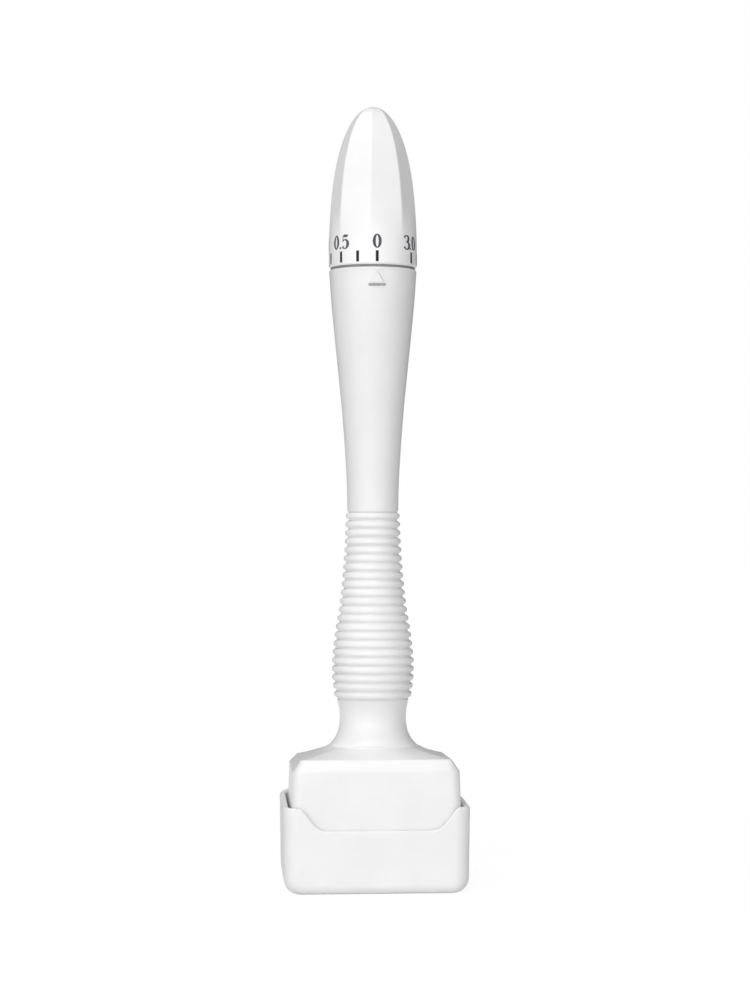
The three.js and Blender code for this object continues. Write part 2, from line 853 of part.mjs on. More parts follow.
function detentRing() {
  const outer = detentBoreRadius - fitGap;
  const blank = ringSolid(crestRadius, outer, detentSeat, detentTop);
  const lug = sector(
    crestRadius + slideGap,
    outer,
    ringLugMiddle - lugWidth / 2,
    ringLugMiddle + lugWidth / 2,
    detentTop - detentRingHeight / 2,
    detentTop + stopLugHeight,
  );
  const notches = Array.from({ length: depthStepCount + 1 }, (_, k) => {
    const angle = k * dialStepAngle;
    const centre = crestRadius + notchDepth - ballRadius;
    return discSolid(
      ballRadius,
      detentSeat - overrun,
      detentTop - notchTopLand,
      notchSides,
    ).translate([centre * Math.cos(angle), centre * Math.sin(angle), 0]);
  });
  return notches.reduce((whole, notch) => whole.subtract(notch), blank.add(lug));
}

const detentBall = () =>
  solid(
    new THREE.SphereGeometry(ballRadius, notchSides, ballRows).translate(ballPlace, 0, ballHeight),
  );

function detentSpring() {
  const inner = sleeveHexRadius * Math.cos(Math.PI / hexSides) + 2 * seatGap;
  const outer = ballPlace - ballRadius - seatGap;
  const wound = coil(ballRadius - 2 * seatGap, clickSpringWire, inner, outer, clickSpringTurns);
  return wound.rotate([0, 90, 0]).translate([0, 0, ballHeight]);
}

// Dial: a bullet whose round skirt turns into eight facets, on a hub that reaches down into
// the barrel.
const dialAngles = Array.from(
  { length: facetCount * dialPointsPerFacet },
  (_, k) => front + frontTurn + facetOffset + (2 * Math.PI * k) / (facetCount * dialPointsPerFacet),
);
const domeBottom = dialBottom + skirtHeight;

function domeRadius(height) {
  const up = (height - domeBottom) / (dialTop - domeBottom);
  return up <= 0 ? skirtRadius : skirtRadius * (1 - up ** domeRisePower) ** (1 / domeRoundPower);
}

function dialSection(height, inset, radius = domeRadius(height)) {
  const up = (height - dialBottom) / dialLength;
  const faceted = THREE.MathUtils.smoothstep(up, facetFadeLowShare, facetFadeHighShare);
  const half = Math.PI / facetCount;
  const points = dialAngles.map((angle, k) => {
    const fromMiddle = mix(-half, half, (k % dialPointsPerFacet) / dialPointsPerFacet);
    const flat = Math.cos(half) / Math.cos(fromMiddle);
    const length = Math.max(radius * mix(1, flat, faceted) - inset, 0);
    return new THREE.Vector2(length * Math.cos(angle), length * Math.sin(angle));
  });
  return ring(points, height);
}

function dialKnob() {
  const levels = dialLevelShares.map((share) => dialBottom + dialLength * share);
  const edge = dialEdgeRadius;
  const middle = edge * filletMiddleShare;
  const outside = loft([
    dialSection(dialBottom, 0, skirtRadius - edge),
    dialSection(dialBottom + middle, 0, skirtRadius - middle),
    ...levels.map((height) => dialSection(height, 0)),
  ]);
  const domeInside = levels.filter((height, k) => k % 2 === 0 && domeRadius(height) > hubRadius);
  const hollow = loft([
    dialSection(dialBottom - overrun, dialWall, skirtRadius),
    ...domeInside.map((height) => dialSection(height, dialWall)),
  ]);
  const hub = discSolid(hubRadius, detentTop, dialTop);
  const ribs = [0, 1].map((k) =>
    block(
      at(-skirtRadius, -hubRibWidth / 2, dialBottom + hubRibLift),
      at(skirtRadius, hubRibWidth / 2, dialTop),
    ).rotate([0, 0, 90 * k]),
  );
  const rooms = [hub, ...ribs].reduce((whole, web) => whole.subtract(web), hollow);
  const shell = outside.subtract(rooms);
  const collar = discSolid(collarRadius, detentSeat + slideGap, detentTop + slideGap);
  const lug = sector(
    hubRadius - slideGap,
    detentBoreRadius - 2 * slideGap,
    dialLugMiddle - lugWidth / 2,
    dialLugMiddle + lugWidth / 2,
    detentTop + slideGap,
    detentTop + stopLugHeight,
  );
  const socket = discSolid(
    sleeveHexRadius + fitGap,
    detentSeat - overrun,
    dialBottom + sleeveHexLength + slideGap,
    hexSides,
  );
  const ballHole = discSolid(ballRadius + fitGap, 0, collarRadius + overrun, smallSides)
    .rotate([0, 90, 0])
    .translate([0, 0, ballHeight]);
  const shaft = discSolid(hubRadius, detentTop, dialBottom + hubRibLift);
  return shell.add(shaft).add(collar).add(lug).subtract(socket).subtract(ballHole);
}

// Slip washer: the dark ring in the seam, which the dial turns on.
function slipWasher() {
  const outer = barrelTopRadius - slipWasherInset;
  return ringSolid(outer - slipWasherWidth, outer, barrelTop, dialBottom - seatGap);
}

add("protective_cap", protectiveCap(), matteWhite);
add("head_housing", headHousing(), satinWhite);
add("face_plate", facePlate(), satinWhite);
add("needle_array", needleArray(), steel);
add("needle_carriage", needleCarriage(), innerAcetal);
add("carriage_screw", carriageScrew(), steel);
add("push_rod", pushRod(), innerAcetal);
add("spring_clip", springClip(), steel);
add("rod_guide", rodGuide(), innerAcetal);
add("return_spring", returnSpring(), steel);
add("grip_sleeve", gripSleeve(), satinWhite);
add("handle_body", handleBody(), glossWhite);
add("thrust_washer", thrustWasher(), darkNylon);
add("drive_sleeve", driveSleeve(), brass);
add("retaining_ring", retainingRing(), innerAcetal);
add("detent_ring", detentRing(), innerAcetal);
add("detent_ball", detentBall(), steel);
add("detent_spring", detentSpring(), steel);
add("slip_washer", slipWasher(), darkNylon);
add("dial_knob", dialKnob(), glossWhite);

export default group;
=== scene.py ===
"""Looks of the adjustable derma stamp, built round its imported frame.

Shapes are worked out in millimetres, as numpy grids of points, and go into the meshes in
metres. +Z is up the handle, and -Y is the side with the pointer.
"""

import math

import bpy
import numpy as np
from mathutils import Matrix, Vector


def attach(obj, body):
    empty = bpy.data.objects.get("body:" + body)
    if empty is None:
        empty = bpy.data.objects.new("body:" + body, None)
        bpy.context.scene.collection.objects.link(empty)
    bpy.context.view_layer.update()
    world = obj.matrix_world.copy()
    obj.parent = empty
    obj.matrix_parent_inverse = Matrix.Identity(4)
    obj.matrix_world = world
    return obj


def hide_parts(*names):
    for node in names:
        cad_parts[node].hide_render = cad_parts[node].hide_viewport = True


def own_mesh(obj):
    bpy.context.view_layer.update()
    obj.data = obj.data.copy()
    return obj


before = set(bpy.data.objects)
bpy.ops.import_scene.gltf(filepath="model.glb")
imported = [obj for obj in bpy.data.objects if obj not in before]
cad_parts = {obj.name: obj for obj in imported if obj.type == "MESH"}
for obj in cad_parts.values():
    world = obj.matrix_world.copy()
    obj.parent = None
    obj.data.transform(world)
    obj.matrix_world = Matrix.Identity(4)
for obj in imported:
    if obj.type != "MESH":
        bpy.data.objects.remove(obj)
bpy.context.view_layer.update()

MM = 0.001
FIT = 0.06  # between pieces that are pushed together

# Heights of the outside
SEAT = 6.2
WALL_TOP = 22.75
CHAMFER_TOP = 25.05
CREASE = 26.9
GRIP_BOTTOM = 35.85
GRIP_TOP = 71.85
BARREL_TOP = 118.43
DIAL_BOTTOM = 118.83
DIAL_TOP = 150.0

# Cap
CAP_WIDTH = 17.7
CAP_DEPTH = 13.8
CAP_CORNER = 3.2
CAP_CORNER_LEAST = 1.0
CAP_WALL = 1.1
CAP_FLOOR = 1.4
CAP_DRAFT = 0.2
CAP_END_ROUND = 2.8
CAP_SIDE_ROUND = 2.0
CAP_RIM = 16.35
CAP_DIP = 4.3
CAP_DIP_HALF = 9.4
CAP_WAVE_HALF = 15.3
CAP_WAVE_POWER = 1.5
CAP_WAVE_SHIFT = 0.45
CAP_REAR_RISE = 0.6
CAP_REAR_RISE_DEPTH = 3.8
CAP_LIP = 0.4
CAP_POST = 2.9
CAP_POST_INSET = 0.9
CAP_POST_ROUND = 0.3
CAP_POST_SINK = 0.1
CAP_POST_GAP = 0.05

# Head
HEAD_WIDTH = 16.35
HEAD_DEPTH = 12.45
HEAD_CORNER = 2.0
HEAD_DRAFT = 0.5
HEAD_WALL = 1.3
HEAD_LEDGE = 0.5
CHAMFER_INSET = 1.4
CHAMFER_END_INSET = 1.55
CHAMFER_REAR_DROP = 0.8
CHAMFER_CORNER = 0.9
CREASE_RADIUS = 8.5
SHOULDER_DISH = 1.3
SHOULDER_FRONT_DISH = 0.85
CREASE_OVAL = 0.16
OVAL_TOP = 29.2
NECK_HEIGHTS = [26.9, 27.15, 27.6, 28.4, 29.3, 31.0, 32.6, 34.4, 35.3, 35.85]
NECK_RADII = [8.5, 8.3, 7.86, 7.28, 6.88, 6.5, 6.42, 6.62, 6.84, 6.93]
NECK_EDGE = 0.15

# Handle
TUBE_RADIUS = 4.0
TUBE_BOTTOM = 28.95
SOCKET_FLOOR = 28.3
BORE_RADIUS = 3.1
RIBS = 22
RIB_STEPS = 16
RIB_DEPTH = 0.6
RIB_POWER = 4.4
GRIP_WAIST = 5.15
GRIP_SWELL = 7.95
GRIP_PLACES = [0, 0.05, 0.12, 0.2, 0.34, 0.52, 0.79, 1]
GRIP_SHARES = [0.79, 0.89, 0.98, 0.99, 0.81, 0.45, 0.13, 0]
BARREL_WAIST = 4.9
BARREL_FULL = 8.45
BARREL_EDGE = 0.45
SLEEVE_BORE = 4.6
THRUST_BORE = 6.1
THRUST_SEAT = 104.0
CLICK_BORE = 6.8
CLICK_SEAT = 110.0
POINTER_TIP = 118.05
POINTER_FOOT = 114.95
POINTER_HALF = 1.75
POINTER_BEVEL = 0.34
POINTER_LIFT = 0.45
POINTER_ROOT = 0.3
# The bar of painted shade on the pointer's lower bevel:
POINTER_BAR_REACH = 1.66
POINTER_BAR_HALF = 0.22
POINTER_BAR_RAISE = 0.02
BARREL_PLACES = [0, 0.11, 0.26, 0.41, 0.56, 0.71, 0.86, 1]
BARREL_SHARES = [0, 0.03, 0.14, 0.29, 0.48, 0.68, 0.87, 1]

# Dial and its scale
SKIRT_RADIUS = 8.5
SKIRT_TOP = 120.0
DIAL_EDGE = 0.4
DIAL_WALL = 1.4
DOME_RISE = 2.6
DOME_ROUND = 2.0
FACETS = 8
FADE_LOW = 122.1
FADE_HIGH = 132.0
FACET_SOFTNESS = 0.02
FRONT = math.radians(-90 + 1.9)
FACET_TURN = FRONT + math.radians(-8.6)
MARK_STEP = math.radians(25.5)
MARKS = 13
MARK_LOW = 119.36
MARK_HIGH = 121.45
MARK_HALF = 0.28
HUB_BORE = 3.26
HUB_SHAFT = 4.3
HUB_COLLAR = 5.59
HUB_BOTTOM = 110.15
HUB_COLLAR_TOP = 113.15
HUB_TOP = 133.0
WASHER_BORE = 7.1
WASHER_RADIUS = 8.15
WASHER_HEIGHT = 0.35

# Needles
NEEDLE_PITCH = 2.0
NEEDLE_COLUMNS = 14
NEEDLE_ROWS = 10
NEEDLE_RADIUS = 0.14
NEEDLE_GRIND_RADIUS = 0.07
NEEDLE_GRIND = 0.8
NEEDLE_TAPER = 1.9
NEEDLE_POINT_RADIUS = 0.006
NEEDLE_ROOT = 0.6
PLATE_TOP = 7.6
PLATE_EDGE = 1.36
PLATE_EASE = 0.15
HOLE_RADIUS = 0.42
FUNNEL_RADIUS = 0.6
FUNNEL_DEPTH = 0.25
CARRIAGE_EDGE = 2.3
SLAB_BOTTOM = 11.0
SLAB_TOP = 12.2
SLAB_ROUND = 0.25
SLAB_RIM = 0.1

# Return spring
SPRING_LOW = 34.45
SPRING_HIGH = 49.45
SPRING_RADIUS = 2.69
SPRING_WIRE_RADIUS = 0.2
SPRING_TURNS = 7
SPRING_END_PITCH = 0.42
SPRING_END_TURNS = 0.8
SPRING_EASE_TURNS = 0.4
SPRING_STEPS = 64
WIRE_SIDES = 14

COLUMNS = 144
EASE_STEPS = 4


# Shape maths


def smooth(places, values, at):
    """Hermite curve through the values; the slope at each is that of its neighbours' chord."""
    places, values, at = (np.asarray(v, float) for v in (places, values, at))
    slopes = np.gradient(values, places, axis=0)
    k = np.clip(np.searchsorted(places, at) - 1, 0, len(places) - 2)
    span = places[k + 1] - places[k]
    t = (at - places[k]) / span
    if values.ndim > 1:
        t, span = t[:, None], span[:, None]
    return (
        (1 + 2 * t) * (1 - t) ** 2 * values[k]
        + t * (1 - t) ** 2 * span * slopes[k]
        + t**2 * (3 - 2 * t) * values[k + 1]
        + t**2 * (t - 1) * span * slopes[k + 1]
    )


def eased(corners, ends=True):
    """A polygon of (across, up, cut) corners, each drawn as a quadratic arc between the two
    points that lie cut away from it. Without ends, the first and last corner only aim."""
    corners = np.asarray(corners, float)
    points, cut = corners[:, :2], corners[:, 2:]

    def towards(other):
        away = other - points
        return points + away / np.linalg.norm(away, axis=1, keepdims=True) * cut

    start, end = towards(np.roll(points, 1, 0)), towards(np.roll(points, -1, 0))
    t = np.linspace(0, 1, EASE_STEPS + 1)[:, None, None]
    arcs = (1 - t) ** 2 * start + 2 * t * (1 - t) * points + t**2 * end
    arcs = arcs.transpose(1, 0, 2)
    return (arcs if ends else arcs[1:-1]).reshape(-1, 2)


def turned(profile, columns=COLUMNS):
    """A profile of (radius, height) turned about Z: (r cos a, r sin a, z)."""
    angle = np.linspace(0, 2 * np.pi, columns, endpoint=False)
    radius, height = profile[:, :1], profile[:, 1:]
    return np.stack(
        [radius * np.cos(angle), radius * np.sin(angle), height + 0 * angle], -1
    )


def plan_layout(front, side, corner):
    """A rounded rectangle's plan as columns (sx, sy, cx, cy), anticlockwise: a point stands at
    (sx (W - r) + cx r, sy (D - r) + cy r). front and side are shares along the straights."""
    signs = np.array([(1, 1), (-1, 1), (-1, -1), (1, -1)], float)
    parts = []
    for k in range(4):
        turn = (k + np.linspace(0, 1, corner, endpoint=False)) * np.pi / 2
        arc = np.column_stack([np.cos(turn), np.sin(turn)])
        parts.append(np.hstack([np.tile(signs[k], (corner, 1)), arc]))
        share = np.asarray(side if k % 2 else front)[:, None]
        edge = signs[k] + (signs[(k + 1) % 4] - signs[k]) * share
        end = (k + 1) * np.pi / 2
        parts.append(
            np.hstack([edge, np.tile([np.cos(end), np.sin(end)], (len(edge), 1))])
        )
    return np.concatenate(parts)


def plan(layout, width, depth, radius):
    """Plan points (rows, columns, 2) of rounded rectangles with those half sizes, one a row."""
    sx, sy, cx, cy = layout.T
    width, depth, radius = (
        np.reshape(np.asarray(v, float), (-1, 1)) for v in (width, depth, radius)
    )
    return np.stack(
        [sx * (width - radius) + cx * radius, sy * (depth - radius) + cy * radius], -1
    )


def raised(points, height):
    """Plan points carried up to a height, one for each row."""
    level = np.broadcast_to(height[:, None, None], points.shape[:2] + (1,))
    return np.concatenate([points, level], -1)


def stacked(loops):
    """A grid from (plan points, height) loops."""
    plans, heights = zip(*loops)
    return raised(np.stack(plans), np.array(heights))


def rows_of(*columns):
    """Rows of numbers from columns. A single number fills its column."""
    return np.column_stack(np.broadcast_arrays(*columns))


def round_inset(radius, height):
    """How far a quarter-round foot stays inside its wall at a height."""
    return radius - np.sqrt(radius**2 - np.clip(radius - height, 0, None) ** 2)


def skin(grid, loop=False):
    """Points and faces of a grid of rows and columns. The columns close on themselves. With
    loop the rows do too, and otherwise a fan to its middle closes each end row."""
    rows, columns = grid.shape[:2]
    row = np.arange(rows if loop else rows - 1)[:, None]
    column = np.arange(columns)[None]
    up, on = (row + 1) % rows, (column + 1) % columns
    quads = np.stack(
        np.broadcast_arrays(
            row * columns + column,
            row * columns + on,
            up * columns + on,
            up * columns + column,
        ),
        -1,
    ).reshape(-1, 4)
    points = grid.reshape(-1, 3)
    if loop:
        return points, [quads]
    here = np.arange(columns)
    there = (here + 1) % columns
    last = (rows - 1) * columns
    middle = np.full(columns, len(points))
    floor = np.stack([middle, there, here], -1)
    roof = np.stack([middle + 1, last + here, last + there], -1)
    return np.vstack([points, grid[[0, -1]].mean(1)]), [quads, floor, roof]


def join(skins):
    """Several skins as one."""
    points, faces, start = [], [], 0
    for own_points, own_faces in skins:
        points.append(own_points)
        faces += [f + start for f in own_faces]
        start += len(own_points)
    return np.vstack(points), faces


def repeat(points, faces, places):
    """Copies of a skin in plan, one moved to each place."""
    shift = np.column_stack([places, np.zeros(len(places))])[:, None]
    starts = np.arange(len(places))[:, None, None] * len(points)
    return (points + shift).reshape(-1, 3), [(f + starts).reshape(-1, f.shape[1]) for f in faces]


def make(name, body, slot, material, *skins, replaces=(), crease=28):
    """A mesh piece from skins. Edges that bend more than the crease angle stay sharp."""
    points, faces = join(skins)
    sizes = np.concatenate([np.full(len(f), f.shape[1]) for f in faces])
    corners = np.concatenate([f.ravel() for f in faces])
    mesh = bpy.data.meshes.new(name)
    mesh.vertices.add(len(points))
    mesh.vertices.foreach_set("co", (points * MM).astype(np.float32).ravel())
    mesh.loops.add(len(corners))
    mesh.loops.foreach_set("vertex_index", corners.astype(np.int32))
    mesh.polygons.add(len(sizes))
    starts = np.concatenate([[0], np.cumsum(sizes)[:-1]])
    mesh.polygons.foreach_set("loop_start", starts.astype(np.int32))
    mesh.polygons.foreach_set("use_smooth", np.ones(len(sizes), bool))
    mesh.update(calc_edges=True)
    mesh.validate()
    mesh.set_sharp_from_angle(angle=math.radians(crease))
    mesh.materials.append(material)
    piece = bpy.data.objects.new(name, mesh)
    bpy.context.scene.collection.objects.link(piece)
    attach(piece, body)
    if replaces:
        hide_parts(*replaces)
    return piece


# Materials


def colour(text):
    """An sRGB hex colour as linear RGBA."""
    part = np.array([int(text[k : k + 2], 16) for k in (1, 3, 5)]) / 255
    linear = np.where(part <= 0.04045, part / 12.92, ((part + 0.055) / 1.055) ** 2.4)
    return (*linear.tolist(), 1.0)


def add(tree, kind, inputs=None, **settings):
    """A node with its settings, and its inputs as values or as links from other nodes."""
    node = tree.nodes.new(kind)
    for key, value in settings.items():
        setattr(node, key, value)
    for key, value in (inputs or {}).items():
        if isinstance(value, bpy.types.NodeSocket):
            tree.links.new(value, node.inputs[key])
        else:
            node.inputs[key].default_value = value
    return node


def empty_tree(owner):
    """The node tree of a material or a world, with nothing in it."""
    owner.use_nodes = True
    owner.node_tree.nodes.clear()
    return owner.node_tree


def blank(name):
    """A new material's tree, with its object coordinates and its shader on the output."""
    material = bpy.data.materials.new(name)
    tree = empty_tree(material)
    place = add(tree, "ShaderNodeTexCoord").outputs["Object"]
    shader = add(tree, "ShaderNodeBsdfPrincipled")
    add(tree, "ShaderNodeOutputMaterial", {"Surface": shader.outputs["BSDF"]})
    return material, tree, place, shader


def per_metre(size):
    """The texture scale whose features are size millimetres wide."""
    return 1 / (size * MM)


def dress(tree, shader, pattern, grain, tones, stops, roughness, relief):
    """Two tones and a gloss that follow a pattern, and a grain as relief in millimetres."""
    ramp = add(tree, "ShaderNodeValToRGB", {"Fac": pattern})
    for stop, tone, at in zip(ramp.color_ramp.elements, tones, stops):
        stop.color, stop.position = colour(tone), at
    low, high = roughness
    gloss = add(
        tree,
        "ShaderNodeMapRange",
        {"Value": pattern, "From Min": 0.3, "From Max": 0.7, "To Min": low, "To Max": high},
    )
    bump = add(
        tree, "ShaderNodeBump", {"Height": grain, "Distance": relief * MM, "Strength": 1.0}
    )
    tree.links.new(ramp.outputs["Color"], shader.inputs["Base Color"])
    tree.links.new(gloss.outputs["Result"], shader.inputs["Roughness"])
    tree.links.new(bump.outputs["Normal"], shader.inputs["Normal"])


def moulded(name, tones, roughness, ior, grain, relief, flow=9.0):
    """A moulded plastic: two close tones in clouds where the melt flowed, a gloss that varies
    with them, and the mould's grain as a bump with a width and depth in millimetres. Real
    grain, a tenth of a millimetre or less, is too fine to show and is drawn coarser."""
    material, tree, place, shader = blank(name)
    cloud = add(
        tree,
        "ShaderNodeTexNoise",
        {"Vector": place, "Scale": per_metre(flow), "Detail": 3.0, "Roughness": 0.55},
    ).outputs["Fac"]
    speck = add(
        tree,
        "ShaderNodeTexNoise",
        {"Vector": place, "Scale": per_metre(grain), "Detail": 4.0, "Roughness": 0.6},
    ).outputs["Fac"]
    dress(tree, shader, cloud, speck, tones, (0.35, 0.65), roughness, relief)
    shader.inputs["IOR"].default_value = ior
    return material


def worked_metal(name, tones, roughness, line, stretch, relief):
    """A drawn, ground or turned metal: tool lines, far longer than wide along the axes with a
    small stretch, that vary its tone, gloss and relief. Real lines are too fine to show, so
    these are drawn coarser."""
    material, tree, place, shader = blank(name)
    along = add(tree, "ShaderNodeMapping", {"Vector": place, "Scale": stretch})
    lines = add(
        tree,
        "ShaderNodeTexNoise",
        {"Vector": along.outputs["Vector"], "Scale": per_metre(line), "Detail": 4.0},
    ).outputs["Fac"]
    dress(tree, shader, lines, lines, tones, (0.3, 0.7), roughness, relief)
    shader.inputs["Metallic"].default_value = 1.0
    return material


# Polypropylene moulded in a fine spark-eroded tool: a soft, dry white with a faint grain.
cap_white = moulded(
    "polypropylene_spark_eroded", ("#efeff0", "#f3f3f3"), (0.5, 0.58), 1.49, 0.5, 0.012
)
# ABS from a finely stoned tool: the head's walls look smooth, and its chamfer catches the light.
head_white = moulded(
    "abs_silk_moulded", ("#eeeeee", "#f2f2f2"), (0.3, 0.36), 1.53, 0.45, 0.008
)
# ABS with a satin skin: the ribs catch soft broad lights along their crests.
grip_white = moulded(
    "abs_satin_moulded", ("#efefef", "#f3f3f3"), (0.38, 0.44), 1.53, 0.8, 0.004
)
# ABS from a polished tool: an even, glossy white with a very slight ripple, a shade darker than
# the dial's copy of it: painted shade on the barrel.
handle_shaded_white = moulded(
    "abs_gloss_moulded", ("#e9e9e9", "#ededed"), (0.3, 0.36), 1.53, 2.5, 0.004, 14.0
)
# The dial is the same polished ABS, painted a few shades whiter: painted light, for the light its
# dome and facets catch.
dial_lit_white = moulded(
    "abs_gloss_dial_moulded", ("#f3f3f3", "#f6f6f6"), (0.3, 0.36), 1.53, 2.5, 0.003, 12.0
)
# Natural acetal, moulded: off-white and waxy, with a faint warm cloud.
acetal = moulded("acetal_moulded", ("#e2dfd6", "#e9e6de"), (0.36, 0.44), 1.48, 0.6, 0.005)
# Nylon filled with carbon black, moulded: a dark grey that hardly shines.
nylon = moulded("nylon_black_moulded", ("#3a3a3d", "#47474a"), (0.5, 0.6), 1.53, 0.3, 0.006)
# The same nylon painted a middle grey for the seam washer: painted light, which lifts the thin
# shaded seam between the white parts to a mid grey.
nylon_painted_light = moulded(
    "nylon_painted_light_seam", ("#8a8a8c", "#98989a"), (0.5, 0.6), 1.53, 0.3, 0.006
)
# Epoxy that holds the needles, cast: a pale honey white with a wet skin.
epoxy = moulded("epoxy_cast", ("#dcd6c6", "#e4dfd1"), (0.14, 0.22), 1.56, 3.0, 0.01)
# Pad-printed ink, near black and dry. Its film is uneven at the scale of the pad's pores.
scale_ink = moulded(
    "pad_print_ink", ("#08080e", "#121118"), (0.65, 0.75), 1.5, 0.12, 0.004, 0.6
)
# The same ink in the digits' thinner film, which lets some of the white through.
digit_ink = moulded(
    "pad_print_ink_thin", ("#44434c", "#56555e"), (0.65, 0.75), 1.5, 0.12, 0.004, 0.6
)
# A grey paint on the pointer's lower bevel, a little smoother: painted shade where the bevel faces
# down.
pointer_shade_paint = moulded(
    "painted_shade_grey", ("#a6a6a9", "#b5b5b8"), (0.5, 0.6), 1.5, 0.12, 0.004, 0.6
)
# Stainless needles and springs, drawn and ground: fine bright lines along their length.
steel = worked_metal(
    "stainless_steel_drawn", ("#b4b6b9", "#cfd1d4"), (0.2, 0.32), 0.08, (1, 1, 0.05), 0.002
)
# Brass turned on a lathe: fine rings round its axis.
brass = worked_metal(
    "brass_turned", ("#b3924a", "#cfae66"), (0.22, 0.34), 0.12, (0.05, 0.05, 1), 0.003
)


# Cap


def cap_rim(x, y):
    """Height of the rim: level at the corners, with one smooth dip in each long side. The rear
    side stands a little higher."""
    out = np.abs(x - CAP_WAVE_SHIFT) - CAP_DIP_HALF
    out = np.clip(out / (CAP_WAVE_HALF - CAP_DIP_HALF), 0, 1)
    back = np.clip((y - CAP_DEPTH) / CAP_REAR_RISE_DEPTH + 1, 0, 1)
    rise = CAP_REAR_RISE * back**2 * (3 - 2 * back)
    return CAP_RIM + rise - CAP_DIP * (1 + np.cos(np.pi * out**CAP_WAVE_POWER)) / 2


def cap_tray():
    """Rounded rectangles stacked up the outside, over the lip and down the inside. A row is
    (end inset, side inset, height at its foot, share of the way to the rim, drop from it)."""
    turn = np.linspace(0, np.pi / 2, 11)
    foot = CAP_END_ROUND * (1 - np.cos(turn))
    end, side = (CAP_DRAFT + round_inset(r, foot) for r in (CAP_END_ROUND, CAP_SIDE_ROUND))
    base = rows_of(end, side, foot, 0, 0)
    share = np.linspace(0, 1, 10)[1:-1]
    draft = CAP_DRAFT * (1 - share)
    wall = rows_of(draft, draft, CAP_END_ROUND, share, CAP_LIP)
    turn = np.linspace(0, np.pi / 2, 7)
    outer = CAP_LIP * (1 - np.cos(turn))
    inner = (CAP_WALL - outer)[::-1]
    drop = CAP_LIP * (1 - np.sin(turn))
    outer_lip = rows_of(outer, outer, 0, 1, drop)
    inner_lip = rows_of(inner, inner, 0, 1, drop[::-1])
    inside = rows_of(CAP_WALL, CAP_WALL, CAP_FLOOR + CAP_WALL, share[::-1], CAP_LIP)
    turn = np.linspace(0, np.pi / 2, 6)
    inset = CAP_WALL + CAP_WALL * (1 - np.cos(turn))
    floor = rows_of(inset, inset, CAP_FLOOR + CAP_WALL * (1 - np.sin(turn)), 0, 0)
    rows = np.vstack([base, wall, outer_lip, inner_lip, inside, floor])
    end, side, foot, share, drop = rows.T
    layout = plan_layout(
        np.linspace(0, 1, 96, endpoint=False), np.linspace(0, 1, 20, endpoint=False), 16
    )
    radius = np.clip(CAP_CORNER - np.minimum(end, side), CAP_CORNER_LEAST, None)
    points = plan(layout, CAP_WIDTH - end, CAP_DEPTH - side, radius)
    rim = cap_rim(points[..., 0], points[..., 1]) - drop[:, None]
    height = foot[:, None] * (1 - share[:, None]) + rim * share[:, None]
    return skin(np.concatenate([points, height[..., None]], -1))


def cap_posts():
    """Four corner posts that carry the head. One is a rounded polygon drawn up from inside the
    floor, with an eased top, and the others are its mirrored copies."""
    outer = np.array([CAP_WIDTH, CAP_DEPTH]) - CAP_POST_INSET
    inner = np.array([CAP_WIDTH, CAP_DEPTH]) - CAP_WALL - CAP_POST
    turn = np.linspace(0, np.pi / 2, 5)
    inset = np.concatenate([[0], CAP_POST_ROUND * (1 - np.cos(turn))])
    top = SEAT - CAP_POST_GAP - CAP_POST_ROUND * (1 - np.sin(turn))
    height = np.concatenate([[CAP_FLOOR - CAP_POST_SINK], top])
    corners = [
        (inner[0], inner[1], 0.5),
        (outer[0], inner[1], 0.5),
        (outer[0], outer[1], 2.5),
        (inner[0], outer[1], 0.5),
    ]
    shape = eased(corners)
    middle = (inner + outer) / 2
    half = (outer - inner).min() / 2
    points = middle + (shape - middle) * (1 - inset / half)[:, None, None]
    post = raised(points, height)
    copies = [post[:, ::sx * sy] * (sx, sy, 1) for sx in (1, -1) for sy in (1, -1)]
    return join([skin(grid) for grid in copies])


make("cap_tray", "cap", "cap_plastic", cap_white, cap_tray(), replaces=["protective_cap"])
make("cap_posts", "cap", "cap_plastic", cap_white, cap_posts())


# Head and needles


def spread(count, widest):
    """Shares along a straight side that stand at equal angles as seen from the middle."""
    angle = widest * np.linspace(-1, 1, count, endpoint=False)
    return (np.tan(angle) / np.tan(widest) + 1) / 2


